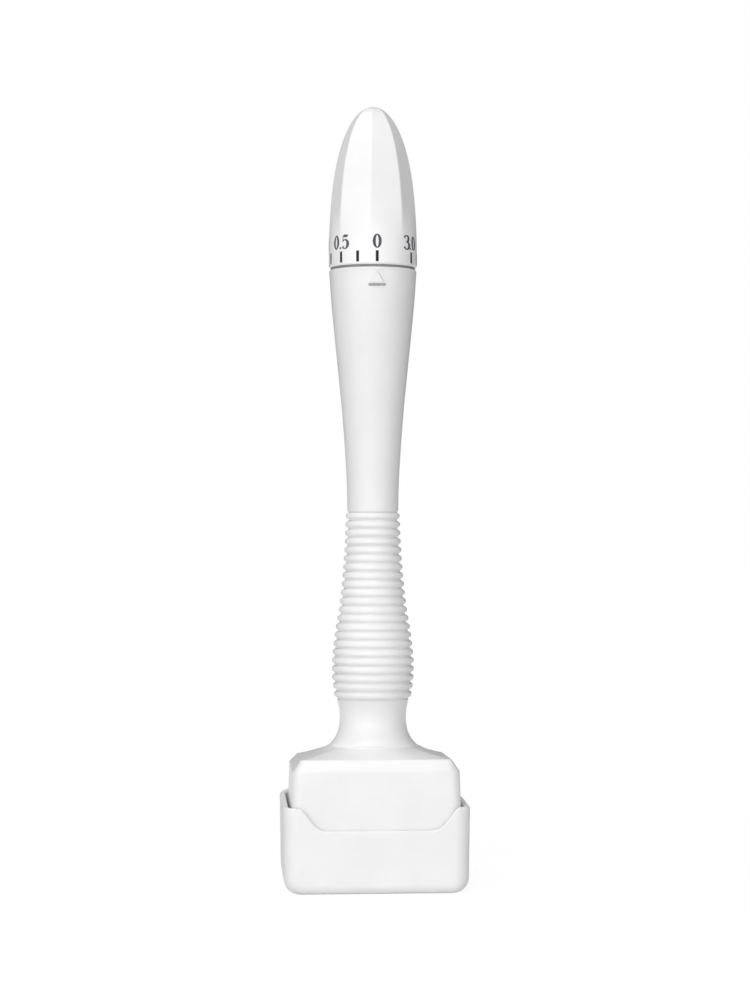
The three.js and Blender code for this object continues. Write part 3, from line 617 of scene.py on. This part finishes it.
def head_shell():
    """Rounded rectangles stacked up the walls and the chamfer, which slide along their own
    directions to a circle over the shoulder, and circles up the neck. The shoulder rises by
    a power of the way to the circle, a hollow at the ends and a swell at the front and back,
    and the circle is drawn in there to an oval, round again a little way up the neck.
    The inside goes back down the socket and the box, and joins the start. A row is (inset,
    height, share of the way to the circle, radius, share of the drop towards the back)."""
    foot = HEAD_DRAFT + CHAMFER_INSET
    outside = eased(
        [
            (HEAD_WALL, SEAT, 0.1),
            (0, SEAT, 0.25),
            (HEAD_DRAFT, WALL_TOP, 0.3),
            (foot, CHAMFER_TOP, 0.15),
            (foot + 3, CHAMFER_TOP + 1.0, 0.3),
        ],
        ends=False,
    )
    top = outside[-1]
    neck = np.linspace(CREASE, GRIP_BOTTOM - NECK_EDGE, 36)[1:]
    neck_radius = smooth(NECK_HEIGHTS, NECK_RADII, neck)
    walls = HEAD_DRAFT + HEAD_WALL
    socket = TUBE_RADIUS + FIT
    fall = np.clip((outside[:, 1] - WALL_TOP) / (CHAMFER_TOP - WALL_TOP), 0, 1)
    rows = [(inset, height, 0, CREASE_RADIUS, f) for (inset, height), f in zip(outside, fall)]
    climb = np.linspace(0, 1, 17)[1:]
    shoulder = slice(len(rows), len(rows) + len(climb))
    rows += [(top[0], top[1], s, CREASE_RADIUS, 1) for s in climb]
    fade = np.clip((OVAL_TOP - neck) / (OVAL_TOP - CREASE), 0, 1) ** 2
    oval = np.zeros((len(rows) + len(neck), 1, 1))
    oval[shoulder] = CREASE_OVAL
    oval[len(rows) :, 0, 0] = CREASE_OVAL * fade
    rows += [(top[0], height, 1, radius, 0) for height, radius in zip(neck, neck_radius)]
    rows += [
        (top[0], GRIP_BOTTOM, 1, neck_radius[-1] - NECK_EDGE, 0),
        (top[0], GRIP_BOTTOM, 1, socket, 0),
        (top[0], SOCKET_FLOOR, 1, socket, 0),
        (top[0], SOCKET_FLOOR, 1, BORE_RADIUS, 0),
        (top[0], CHAMFER_TOP, 1, BORE_RADIUS, 0),
        (top[0], CHAMFER_TOP, 1, CREASE_RADIUS - 2 * HEAD_WALL, 0),
        (walls + CHAMFER_INSET, CHAMFER_TOP - HEAD_WALL, 0, CREASE_RADIUS, 0),
        (walls, WALL_TOP - HEAD_WALL, 0, CREASE_RADIUS, 0),
        (walls, PLATE_TOP, 0, CREASE_RADIUS, 0),
        (walls - HEAD_LEDGE, PLATE_TOP, 0, CREASE_RADIUS, 0),
        (walls - HEAD_LEDGE, SEAT, 0, CREASE_RADIUS, 0),
    ]
    inset, height, share, radius, fall = np.array(rows).T
    widest = math.atan(HEAD_WIDTH / HEAD_DEPTH)
    layout = plan_layout(spread(48, widest), spread(36, np.pi / 2 - widest), 10)
    corner = np.interp(inset, [HEAD_DRAFT, foot], [HEAD_CORNER, CHAMFER_CORNER])
    over = np.clip(inset - HEAD_DRAFT, 0, None) * (fall + share > 0)
    end = inset - over * (1 - CHAMFER_END_INSET / CHAMFER_INSET)
    points = plan(layout, HEAD_WIDTH - end, HEAD_DEPTH - inset, corner)
    back = (points[..., 1:] / (HEAD_DEPTH - foot) + 1) / 2
    length = np.linalg.norm(points, axis=-1, keepdims=True)
    ahead = (points[..., 1:] / length) ** 2
    share, radius = share[:, None, None], radius[:, None, None]
    around = 1 + 0 * ahead
    around[: len(oval)] -= oval * ahead[: len(oval)]
    points = points * (1 - share + share * radius * around / length)
    level = height[:, None, None] - CHAMFER_REAR_DROP * back * fall[:, None, None]
    power = SHOULDER_DISH + (SHOULDER_FRONT_DISH - SHOULDER_DISH) * ahead[shoulder]
    rise = share[shoulder] ** power
    level[shoulder] += (CREASE - level[shoulder]) * rise
    return skin(np.concatenate([points, level], -1), loop=True)


make("head_shell", "handle", "head_plastic", head_white, head_shell(), replaces=["head_housing"])


def needle_grid():
    """The needles' places, in rows and columns about the middle."""
    x = (np.arange(NEEDLE_COLUMNS) - (NEEDLE_COLUMNS - 1) / 2) * NEEDLE_PITCH
    y = (np.arange(NEEDLE_ROWS) - (NEEDLE_ROWS - 1) / 2) * NEEDLE_PITCH
    return np.stack(np.meshgrid(x, y), -1).reshape(-1, 2)


def weld(points, faces):
    """Points at one place become one, and a quad that so loses a corner becomes a triangle."""
    _, first, index = np.unique(
        np.round(points, 4), axis=0, return_index=True, return_inverse=True
    )
    index = index.ravel()
    kept = []
    for face in faces:
        face = index[face]
        same = face == np.roll(face, -1, 1)
        kept.append(face[same.sum(1) == 0])
        single = same.sum(1) == 1
        if face.shape[1] == 4:
            kept.append(face[single][~same[single]].reshape(-1, 3))
    return points[first], [face for face in kept if len(face)]


def plate():
    """Each needle's cell is a square frame round a funnelled hole: rings of points that go
    from the square on the face, through the hole, to the square on the back. A rim of the same
    kind joins the cells to the plate's edge."""
    turn = np.linspace(0, 2 * np.pi, 24, endpoint=False)
    unit = np.column_stack([np.cos(turn), np.sin(turn)])
    square = unit / np.abs(unit).max(1, keepdims=True) * NEEDLE_PITCH / 2
    rings = [
        (square, PLATE_TOP),
        (unit * HOLE_RADIUS, PLATE_TOP),
        (unit * HOLE_RADIUS, SEAT + FUNNEL_DEPTH),
        (unit * FUNNEL_RADIUS, SEAT),
        (square, SEAT),
    ]
    points, faces = skin(stacked(rings))
    cells = repeat(points[:-2], faces[:1], needle_grid())
    half = np.array([NEEDLE_COLUMNS, NEEDLE_ROWS]) * NEEDLE_PITCH / 2
    steps = (1 + np.tan(np.radians([-45, -30, -15, 0, 15, 30]))) / 2
    front = (np.arange(NEEDLE_COLUMNS)[:, None] + steps).ravel() / NEEDLE_COLUMNS
    side = (np.arange(NEEDLE_ROWS)[:, None] + steps).ravel() / NEEDLE_ROWS
    layout = plan_layout(front, side, 6)
    width, depth = HEAD_WIDTH - PLATE_EDGE, HEAD_DEPTH - PLATE_EDGE
    inner = plan(layout, half[0], half[1], 0)[0]
    outer = plan(layout, width, depth, CHAMFER_CORNER)[0]
    drawn_in = plan(layout, width - PLATE_EASE, depth - PLATE_EASE, CHAMFER_CORNER)[0]
    loops = [
        (inner, SEAT),
        (drawn_in, SEAT),
        (outer, SEAT + PLATE_EASE),
        (outer, PLATE_TOP),
        (inner, PLATE_TOP),
    ]
    points, faces = skin(stacked(loops))
    return weld(*join([cells, (points[:-2], faces[:1])]))


def slab():
    """Cast slab: a rounded rectangle drawn up, with a rounded edge at its foot."""
    step = np.linspace(0, 1, 24, endpoint=False)
    layout = plan_layout(step, step, 8)
    turn = np.linspace(0, np.pi / 2, 5)
    inset = np.concatenate([SLAB_ROUND * (1 - np.sin(turn)), [0, 0]])
    foot = SLAB_BOTTOM + SLAB_ROUND * (1 - np.cos(turn))
    height = np.concatenate([foot, [SLAB_TOP - SLAB_RIM, SLAB_TOP]])
    edge = CARRIAGE_EDGE + inset
    points = plan(layout, HEAD_WIDTH - edge, HEAD_DEPTH - edge, 1.0)
    return skin(raised(points, height))


def needles():
    """Each needle is a round pin with a long ground point: rings of eight at four heights."""
    profile = np.array(
        [
            (NEEDLE_POINT_RADIUS, SEAT),
            (NEEDLE_GRIND_RADIUS, SEAT + NEEDLE_GRIND),
            (NEEDLE_RADIUS, SEAT + NEEDLE_TAPER),
            (NEEDLE_RADIUS, SLAB_BOTTOM + NEEDLE_ROOT),
        ]
    )
    return repeat(*skin(turned(profile, 8)), needle_grid())


make("needle_plate", "handle", "head_plastic", head_white, plate(), replaces=["face_plate"])
make("needle_pins", "carriage", "bright_steel", steel, needles(), replaces=["needle_array"])
make("needle_slab", "carriage", "inner_acetal", epoxy, slab(), replaces=["needle_array"])


# Grip and barrel


def grip():
    """Round ribs with narrow grooves between them: the skin lies below a crest line, which
    follows the swell of the handle, by |cos u|^p, where u grows by 180 degrees a rib."""
    place = np.linspace(0, RIBS, RIBS * RIB_STEPS + 1)
    along = place / RIBS
    groove = np.abs(np.cos(np.pi * place)) ** RIB_POWER
    swell = smooth(GRIP_PLACES, GRIP_SHARES, along)
    crest = GRIP_WAIST + (GRIP_SWELL - GRIP_WAIST) * swell
    radius = crest - RIB_DEPTH * groove
    height = GRIP_BOTTOM + (GRIP_TOP - GRIP_BOTTOM) * along
    bore = TUBE_RADIUS + FIT
    profile = np.vstack(
        [np.column_stack([radius, height]), [(bore, GRIP_TOP), (bore, GRIP_BOTTOM)]]
    )
    return skin(turned(profile), loop=True)


def barrel_radius(height):
    """Radius of the barrel's skin at a height."""
    share = smooth(BARREL_PLACES, BARREL_SHARES, (height - GRIP_TOP) / (BARREL_TOP - GRIP_TOP))
    return BARREL_WAIST + (BARREL_FULL - BARREL_WAIST) * share


def barrel():
    """A closed profile turned about Z: up the barrel's swelling side, over a quarter-round
    rim, down the stepped bores with eased corners and up the outside of the tube."""
    height = np.linspace(GRIP_TOP + 0.1, BARREL_TOP - BARREL_EDGE, 110)
    side = np.column_stack([barrel_radius(height), height])
    turn = np.linspace(0, np.pi / 2, 9)[1:]
    rim = np.column_stack(
        [
            BARREL_FULL - BARREL_EDGE * (1 - np.cos(turn)),
            BARREL_TOP - BARREL_EDGE * (1 - np.sin(turn)),
        ]
    )
    inside = eased(
        [
            (BARREL_FULL - BARREL_EDGE, BARREL_TOP, 0.1),
            (CLICK_BORE, BARREL_TOP, 0.15),
            (CLICK_BORE, CLICK_SEAT, 0.1),
            (THRUST_BORE, CLICK_SEAT, 0.1),
            (THRUST_BORE, THRUST_SEAT, 0.1),
            (SLEEVE_BORE, THRUST_SEAT, 0.1),
            (BORE_RADIUS, GRIP_TOP + 2, 0.3),
            (BORE_RADIUS, TUBE_BOTTOM, 0.1),
            (TUBE_RADIUS, TUBE_BOTTOM, 0.1),
            (TUBE_RADIUS, GRIP_TOP, 0.1),
            (BARREL_WAIST, GRIP_TOP, 0.1),
            (BARREL_WAIST, GRIP_TOP + 1, 0.1),
        ],
        ends=False,
    )
    return skin(turned(np.vstack([side, rim, inside])), loop=True)


def on_barrel(across, height, lift):
    """Carries flat (across, height) points onto the barrel, lifted by lift: the angle is the
    arc length across over the barrel's full radius."""
    angle = FRONT + across / BARREL_FULL
    radius = barrel_radius(height) + lift
    return np.stack([radius * np.cos(angle), radius * np.sin(angle), height], -1)


def bevel_radius(height, angle):
    """Radius of the pointer's lower bevel at a height, the same at every angle."""
    lift = POINTER_LIFT * np.clip((height - POINTER_FOOT) / POINTER_BEVEL, 0, 1)
    return barrel_radius(height) + lift


def pointer():
    """A raised triangle with bevelled sides: outlines of its height and then smaller ones on
    its face, all drawn in towards the middle and carried onto the barrel's skin."""
    outline = np.array(
        [(0, POINTER_TIP), (-POINTER_HALF, POINTER_FOOT), (POINTER_HALF, POINTER_FOOT)]
    )
    middle = outline.mean(0)
    bevel = 1 - POINTER_BEVEL / (middle[1] - POINTER_FOOT)
    share = np.linspace(0, 1, 12, endpoint=False)[:, None]
    path = np.concatenate(
        [a + (b - a) * share for a, b in zip(outline, np.roll(outline, -1, 0))]
    )
    rings = [(1.0, -POINTER_ROOT), (1.0, 0.0), (bevel, POINTER_LIFT)]
    rings += [(bevel * part, POINTER_LIFT) for part in (0.75, 0.5, 0.25, 0.05)]
    grid = [on_barrel(*(middle + (path - middle) * reach).T, lift) for reach, lift in rings]
    return skin(np.stack(grid))


make(
    "grip_ribs", "handle", "grip_plastic", grip_white, grip(), replaces=["grip_sleeve"], crease=60
)
make("barrel_shell", "handle", "handle_gloss", handle_shaded_white, barrel(), replaces=["handle_body"])
make("pointer_arrow", "handle", "handle_gloss", handle_shaded_white, pointer(), crease=20)


# Dial and scale


def facet_share(angle, height):
    """How far the skin stands in from its round: none at a facet's edge, most at its middle,
    fading out towards the skirt. The edges are eased by a root of squares."""
    fade = np.clip((height - FADE_LOW) / (FADE_HIGH - FADE_LOW), 0, 1)
    fade = fade**2 * (3 - 2 * fade)
    half = np.pi / FACETS
    from_edge = (angle - FACET_TURN) % (2 * half)
    from_edge = np.minimum(from_edge, 2 * half - from_edge)
    soft = np.sqrt(from_edge**2 + FACET_SOFTNESS**2)
    flat = np.cos(half) / np.cos(half - soft)
    return 1 + (flat - 1) * fade


def dome_radius(height):
    """A superellipse with its own power for each axis, from the skirt to the tip."""
    up = np.clip((height - SKIRT_TOP) / (DIAL_TOP - SKIRT_TOP), 0, 1)
    return SKIRT_RADIUS * (1 - up**DOME_RISE) ** (1 / DOME_ROUND)


def dial_radius(height, angle):
    """Radius of the dial's skin: the dome's, drawn in to the facets."""
    return dome_radius(height) * facet_share(angle, height)


def dial_angles():
    """Columns of the dial: close together at the facets' edges, wide apart between them."""
    half = np.pi / FACETS
    near = np.array([0, 0.012, 0.025, 0.045, 0.075, 0.12, 0.18, 0.25, 0.32])
    one = np.concatenate([near, [half], (2 * half - near[1:])[::-1]])
    return (FACET_TURN + one[None] + 2 * half * np.arange(FACETS)[:, None]).ravel()


def dial_shell():
    """From the hollow's top down the inside, round the foot and up the outside to the tip.
    On the dome the share of the height is sin(t) to the power 2 / DOME_RISE, and that of the
    radius is cos(t) to the power 2 / DOME_ROUND."""
    t = np.linspace(0, np.pi / 2, 100)[1:-1]
    dome_height = SKIRT_TOP + (DIAL_TOP - SKIRT_TOP) * np.sin(t) ** (2 / DOME_RISE)
    turn = np.linspace(0, np.pi / 2, 9)
    edge_radius = SKIRT_RADIUS - DIAL_EDGE * (1 - np.sin(turn))
    edge_height = DIAL_BOTTOM + DIAL_EDGE * (1 - np.cos(turn))
    skirt = np.linspace(DIAL_BOTTOM + DIAL_EDGE, SKIRT_TOP, 5)[1:]
    radius = np.concatenate([edge_radius, 0 * skirt + SKIRT_RADIUS, dome_radius(dome_height)])
    height = np.concatenate([edge_height, skirt, dome_height])
    angle = dial_angles()
    outside = radius[:, None] * facet_share(angle[None], height[:, None])
    hollow_height = np.linspace(DIAL_TOP - 3 * DIAL_WALL, DIAL_BOTTOM, 40)
    hollow = np.clip(dome_radius(hollow_height) - DIAL_WALL, 0.3, None)
    inside = hollow[:, None] + 0 * angle[None]
    radii = np.vstack([inside, outside])
    heights = np.concatenate([hollow_height, height])[:, None] + 0 * angle[None]
    return skin(np.stack([radii * np.cos(angle), radii * np.sin(angle), heights], -1))


def dial_hub():
    """The shaft and the click collar that reach down into the barrel: a stepped section with
    eased corners, turned about Z."""
    profile = eased(
        [
            (HUB_BORE, HUB_BOTTOM, 0.1),
            (HUB_COLLAR, HUB_BOTTOM, 0.15),
            (HUB_COLLAR, HUB_COLLAR_TOP, 0.15),
            (HUB_SHAFT, HUB_COLLAR_TOP, 0.1),
            (HUB_SHAFT, HUB_TOP, 0.2),
            (HUB_BORE, HUB_TOP, 0.1),
        ]
    )
    return skin(turned(profile, 96), loop=True)


def washer():
    """The slip washer in the seam: a flat rectangular section with eased corners, turned
    about Z."""
    profile = eased(
        [
            (WASHER_BORE, 0, 0.05),
            (WASHER_RADIUS, 0, 0.05),
            (WASHER_RADIUS, WASHER_HEIGHT, 0.08),
            (WASHER_BORE, WASHER_HEIGHT, 0.05),
        ]
    )
    return skin(turned(profile + (0, BARREL_TOP)), loop=True)


make(
    "dial_shell", "dial", "dial_gloss", dial_lit_white, dial_shell(), replaces=["dial_knob"], crease=40
)
make("dial_hub", "dial", "dial_gloss", dial_lit_white, dial_hub())
# The seam washer wears the lightened nylon: painted light in the seam.
make("seam_washer", "handle", "dark_nylon", nylon_painted_light, washer(), replaces=["slip_washer"])

# Strokes of the digits, in a box 2 high about their middle: (x, y, half width) knots.
STROKES = {
    "1": [
        [(-0.02, 1.0, 0.13), (-0.02, 0, 0.13), (-0.02, -0.98, 0.13)],
        [(-0.34, 0.7, 0.03), (-0.2, 0.78, 0.05), (-0.02, 0.96, 0.06)],
        [(-0.36, -0.96, 0.045), (0, -0.96, 0.045), (0.32, -0.96, 0.045)],
    ],
    "2": [
        [
            (-0.42, 0.5, 0.14),
            (-0.38, 0.78, 0.08),
            (0.0, 0.96, 0.06),
            (0.34, 0.72, 0.13),
            (0.36, 0.35, 0.15),
            (0.05, -0.15, 0.09),
            (-0.32, -0.68, 0.05),
            (-0.46, -0.92, 0.04),
        ],
        [(-0.46, -0.88, 0.1), (0.1, -0.88, 0.12), (0.46, -0.84, 0.1), (0.5, -0.6, 0.03)],
    ],
    "3": [
        [
            (-0.5, 0.62, 0.12),
            (-0.36, 0.85, 0.08),
            (0.02, 0.96, 0.06),
            (0.38, 0.75, 0.14),
            (0.38, 0.4, 0.15),
            (0.1, 0.12, 0.07),
            (-0.16, 0.06, 0.04),
        ],
        [
            (-0.16, 0.06, 0.04),
            (0.16, 0.02, 0.07),
            (0.5, -0.3, 0.16),
            (0.46, -0.68, 0.15),
            (0.04, -0.96, 0.06),
            (-0.38, -0.88, 0.07),
            (-0.54, -0.62, 0.13),
        ],
    ],
    "5": [
        [(-0.34, 0.86, 0.1), (0.0, 0.84, 0.13), (0.3, 0.86, 0.1), (0.42, 0.98, 0.03)],
        [(-0.36, 0.88, 0.035), (-0.4, 0.4, 0.035), (-0.42, 0.02, 0.035)],
        [
            (-0.42, 0.04, 0.03),
            (-0.2, 0.26, 0.05),
            (0.14, 0.26, 0.07),
            (0.42, -0.06, 0.14),
            (0.44, -0.46, 0.15),
            (0.14, -0.9, 0.07),
            (-0.22, -0.94, 0.05),
            (-0.46, -0.66, 0.13),
        ],
    ],
}
DIGIT_HALF = 1.35
NOUGHT_WIDE = 0.86
NOUGHT_SIDE = 0.58
NOUGHT_TOP = 0.25
POINT_HALF = 0.2
POINT_INK = 0.19
DIGIT_MIDDLE = 123.25
DIGIT_PITCH = 1.65
POINT_PITCH = 0.8
LABEL_SHIFT = 0.2
STROKE_WEIGHT = 1.5
INK_LIFT = 0.025
INK_SINK = -0.06


def ribbon(middle, sideways, centre_angle, radius_at):
    """A thin closed film: its two edges, on and just under the skin, carried along a path.
    sideways points to the left of the path."""
    left, right = middle + sideways, middle - sideways
    corners = []
    for (across, height), lift in [
        (left.T, INK_LIFT),
        (right.T, INK_LIFT),
        (right.T, INK_SINK),
        (left.T, INK_SINK),
    ]:
        angle = centre_angle + across / SKIRT_RADIUS
        radius = radius_at(height, angle) + lift
        corners.append(np.stack([radius * np.cos(angle), radius * np.sin(angle), height], -1))
    return np.stack(corners, 1)


def stroke(knots, middle, centre_angle):
    """A digit's stroke: a smooth path of changing width through its knots."""
    knots = np.asarray(knots, float)
    lengths = np.linalg.norm(np.diff(knots[:, :2], axis=0), axis=1)
    place = np.concatenate([[0], np.cumsum(lengths)])
    path = smooth(place, knots, np.linspace(0, place[-1], 6 * len(knots)))
    along = np.gradient(path[:, :2], axis=0)
    along /= np.linalg.norm(along, axis=1, keepdims=True)
    across = np.column_stack([-along[:, 1], along[:, 0]])
    points = middle + path[:, :2] * DIGIT_HALF
    half = path[:, 2:] * DIGIT_HALF * STROKE_WEIGHT
    return skin(ribbon(points, across * half, centre_angle, dial_radius))


def nought(middle, centre_angle, wide, tall, thick, thin):
    """An oval ring, thick at its sides and thin at its top and bottom."""
    turn = np.linspace(0, 2 * np.pi, 40, endpoint=False)
    unit = np.column_stack([np.cos(turn), np.sin(turn)])
    outer, inner = unit * (wide, tall), unit * (wide - thick, tall - thin)
    centre, half = middle + (outer + inner) / 2, (outer - inner) / 2
    return skin(ribbon(centre, -half, centre_angle, dial_radius), loop=True)


def label(text, centre_angle):
    """The strokes of one number, centred on its mark, or a little before it if it is long."""
    pitches = [POINT_PITCH if c == "." else DIGIT_PITCH for c in text]
    across = -sum(pitches) / 2 - (LABEL_SHIFT if len(text) > 1 else 0)
    skins = []
    for character, pitch in zip(text, pitches):
        middle = np.array([across + pitch / 2, DIGIT_MIDDLE])
        across += pitch
        if character == "0":
            oval = (NOUGHT_WIDE, DIGIT_HALF, NOUGHT_SIDE, NOUGHT_TOP)
            skins.append(nought(middle, centre_angle, *oval))
        elif character == ".":
            dot = middle - (0, DIGIT_HALF - POINT_HALF)
            oval = (POINT_HALF, POINT_HALF, POINT_INK, POINT_INK)
            skins.append(nought(dot, centre_angle, *oval))
        else:
            skins += [stroke(s, middle, centre_angle) for s in STROKES[character]]
    return skins


def scale_marks():
    """A bar for each of the marks."""
    middle = rows_of(0, np.linspace(MARK_LOW, MARK_HIGH, 8))
    side = np.array([-MARK_HALF, 0])
    return [
        skin(ribbon(middle, side, FRONT - k * MARK_STEP, dial_radius)) for k in range(MARKS)
    ]


# Every second mark has its number: 0, 0.5, 1.0 and so on.
digits = []
for k in range(0, MARKS, 2):
    digits += label(f"{k / 4:.1f}" if k else "0", FRONT - k * MARK_STEP)
make("scale_digits", "dial", "dark_nylon", digit_ink, *digits)
make("scale_bars", "dial", "dark_nylon", scale_ink, *scale_marks())


def pointer_shade_bar():
    """A grey bar of painted shade on the pointer's lower bevel, where it faces down."""
    across = np.linspace(-POINTER_BAR_REACH, POINTER_BAR_REACH, 12)
    middle = rows_of(across, POINTER_FOOT + POINTER_BAR_RAISE)
    side = np.array([0, POINTER_BAR_HALF])
    return skin(ribbon(middle, side, FRONT, bevel_radius))


# Painted shade: a grey bar along the pointer's lower bevel.
make("pointer_shade_bar", "handle", "dark_nylon", pointer_shade_paint, pointer_shade_bar())


# Inside pieces


def spring():
    """The return spring: a round wire about (R cos a, R sin a, z(a)). A turn at each end lies
    close to the next and is ground to half its wire, and the others share the rest of z."""
    turn = np.linspace(0, SPRING_TURNS, SPRING_STEPS * SPRING_TURNS + 1)
    from_end = np.minimum(turn, SPRING_TURNS - turn)
    share = np.clip((from_end - SPRING_END_TURNS) / SPRING_EASE_TURNS, 0, 1)
    share = share**2 * (3 - 2 * share)
    step = np.diff(turn)
    opened = np.concatenate([[0], np.cumsum((share[1:] + share[:-1]) / 2 * step)])
    extra = SPRING_HIGH - SPRING_LOW - SPRING_END_PITCH * SPRING_TURNS
    height = SPRING_LOW + SPRING_END_PITCH * turn + extra * opened / opened[-1]
    angle = 2 * np.pi * turn
    outward = np.stack([np.cos(angle), np.sin(angle), 0 * angle], -1)
    middle = SPRING_RADIUS * outward + height[:, None] * (0, 0, 1)
    along = np.gradient(middle, axis=0)
    along /= np.linalg.norm(along, axis=1, keepdims=True)
    upward = np.cross(along, outward)
    round_wire = np.linspace(0, 2 * np.pi, WIRE_SIDES, endpoint=False)[None, :, None]
    wire = np.cos(round_wire) * outward[:, None] + np.sin(round_wire) * upward[:, None]
    grid = middle[:, None] + SPRING_WIRE_RADIUS * wire
    grid[..., 2] = np.clip(grid[..., 2], SPRING_LOW, SPRING_HIGH)
    return skin(grid)


return_coil = make(
    "return_coil", "handle", "bright_steel", steel, spring(), replaces=["return_spring"], crease=50
)
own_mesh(return_coil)

# The solids' own materials: those inside stay visible, and the rest have new forms above.
finishes = {
    acetal: ["needle_carriage", "push_rod", "rod_guide", "retaining_ring", "detent_ring"],
    steel: [
        "carriage_screw",
        "spring_clip",
        "return_spring",
        "detent_ball",
        "detent_spring",
        "needle_array",
    ],
    nylon: ["thrust_washer", "slip_washer"],
    brass: ["drive_sleeve"],
    cap_white: ["protective_cap"],
    head_white: ["head_housing", "face_plate"],
    grip_white: ["grip_sleeve"],
    handle_shaded_white: ["handle_body"],
    dial_lit_white: ["dial_knob"],
}
for material, names in finishes.items():
    for name in names:
        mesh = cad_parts[name].data
        mesh.materials.clear()
        mesh.materials.append(material)


# Stage, light and camera

# The floor is a flat square, a hair below the cap's base.
FLOOR_HALF = 2000.0
FLOOR_DROP = 0.02
ROOM_LIGHT = 0.175


def either_ray(tree, first, second):
    """1 for rays of either kind, and 0 for others."""
    rays = add(tree, "ShaderNodeLightPath").outputs
    inputs = {0: rays[f"Is {first} Ray"], 1: rays[f"Is {second} Ray"]}
    return add(tree, "ShaderNodeMath", inputs, operation="MAXIMUM").outputs["Value"]


# White paper: matte, and lit as the rest. What the camera and the gloss see of it is mostly a
# flat white, so that it runs into the background and still holds a soft shadow.
paper = bpy.data.materials.new("paper_white")
tree = empty_tree(paper)
seen = either_ray(tree, "Camera", "Glossy")
dull = add(tree, "ShaderNodeBsdfDiffuse", {"Color": colour("#dcdcdc")})
faint = add(tree, "ShaderNodeBsdfDiffuse", {"Color": colour("#5c5c5c")})
# The glow is painted light: 0.93 by the object's foot, rising to full white 0.4 m away, which
# makes up for the lamps' fall-off across the floor.
place = add(tree, "ShaderNodeTexCoord").outputs["Object"]
away = add(tree, "ShaderNodeVectorMath", {0: place}, operation="LENGTH").outputs["Value"]
fade = add(
    tree,
    "ShaderNodeMapRange",
    {"Value": away, "From Min": 0.05, "From Max": 0.4, "To Min": 0.93, "To Max": 1.0},
)
glow = add(
    tree,
    "ShaderNodeEmission",
    {"Color": colour("#ffffff"), "Strength": fade.outputs["Result"]},
)
white = add(tree, "ShaderNodeAddShader", {0: faint.outputs["BSDF"], 1: glow.outputs["Emission"]})
both = add(
    tree,
    "ShaderNodeMixShader",
    {0: seen, 1: dull.outputs["BSDF"], 2: white.outputs["Shader"]},
)
add(tree, "ShaderNodeOutputMaterial", {"Surface": both.outputs["Shader"]})

signs = [(-1, -1), (1, -1), (1, 1), (-1, 1)]
corners = rows_of(*(np.array(signs) * FLOOR_HALF).T, -FLOOR_DROP) * MM
floor_mesh = bpy.data.meshes.new("floor")
floor_mesh.from_pydata(corners.tolist(), [], [(0, 1, 2, 3)])
floor_mesh.materials.append(paper)
floor = bpy.data.objects.new("floor", floor_mesh)
bpy.context.scene.collection.objects.link(floor)

# A white room, dim as a light. The camera sees it as a plain white page.
world = bpy.data.worlds.new("studio")
tree = empty_tree(world)
seen = either_ray(tree, "Camera", "Transmission")
room, page = (
    add(tree, "ShaderNodeBackground", {"Color": colour("#ffffff"), "Strength": strength})
    for strength in (ROOM_LIGHT, 1.0)
)
both = add(
    tree,
    "ShaderNodeMixShader",
    {0: seen, 1: room.outputs["Background"], 2: page.outputs["Background"]},
)
add(tree, "ShaderNodeOutputWorld", {"Surface": both.outputs["Shader"]})
bpy.context.scene.world = world

# The lamps aim at the object's middle. These are in metres.
AIM = np.array([0.0, 0.0, 0.075])
LAMP_DISTANCE = 1.2
LAMP_SIZE = 0.7


def lamp(name, azimuth, elevation, power):
    """A square soft box that looks at the object from a direction in degrees."""
    light = bpy.data.lights.new(name, "AREA")
    light.shape, light.size, light.energy = "SQUARE", LAMP_SIZE, power
    away = (
        math.sin(math.radians(azimuth)) * math.cos(math.radians(elevation)),
        -math.cos(math.radians(azimuth)) * math.cos(math.radians(elevation)),
        math.sin(math.radians(elevation)),
    )
    turn = Vector(away).to_track_quat("Z", "Y")
    holder = bpy.data.objects.new(name, light)
    holder.location = AIM + np.array(away) * LAMP_DISTANCE
    holder.rotation_mode = "QUATERNION"
    holder.rotation_quaternion = turn
    bpy.context.scene.collection.objects.link(holder)
    return holder


# Four boxes in a row in front, brightest a little to the left, two above, and one behind,
# which no gloss shows.
lamp("front_left", -55, 0, 3.4)
lamp("front", -21, 0, 4.9)
lamp("front_middle", 10, 0, 3.2)
lamp("front_right", 45, 0, 2.6)
lamp("top_front", -14, 57, 5.9)
lamp("top_left", -90, 60, 2.2)
lamp("back", 170, 0, 5.5).visible_glossy = False

# Camera level with the object's middle, a little to the left of the front, in millimetres.
CAMERA_TURN = math.radians(-3.8)
CAMERA_DISTANCE = 456.0
CAMERA_HEIGHT = 74.1
CAMERA_SIDE = 0.42
camera_data = bpy.data.cameras.new("camera")
camera_data.lens, camera_data.sensor_width = 85, 36
camera_data.clip_start, camera_data.clip_end = 0.01, 20
camera = bpy.data.objects.new("camera", camera_data)
right = np.array([math.cos(CAMERA_TURN), math.sin(CAMERA_TURN), 0])
back = np.array([math.sin(CAMERA_TURN), -math.cos(CAMERA_TURN), 0])
camera.location = (
    right * CAMERA_SIDE + back * CAMERA_DISTANCE + np.array([0, 0, CAMERA_HEIGHT])
) * MM
camera.rotation_euler = (math.pi / 2, 0, CAMERA_TURN)
bpy.context.scene.collection.objects.link(camera)
bpy.context.scene.camera = camera
bpy.context.scene.view_settings.view_transform = "Standard"
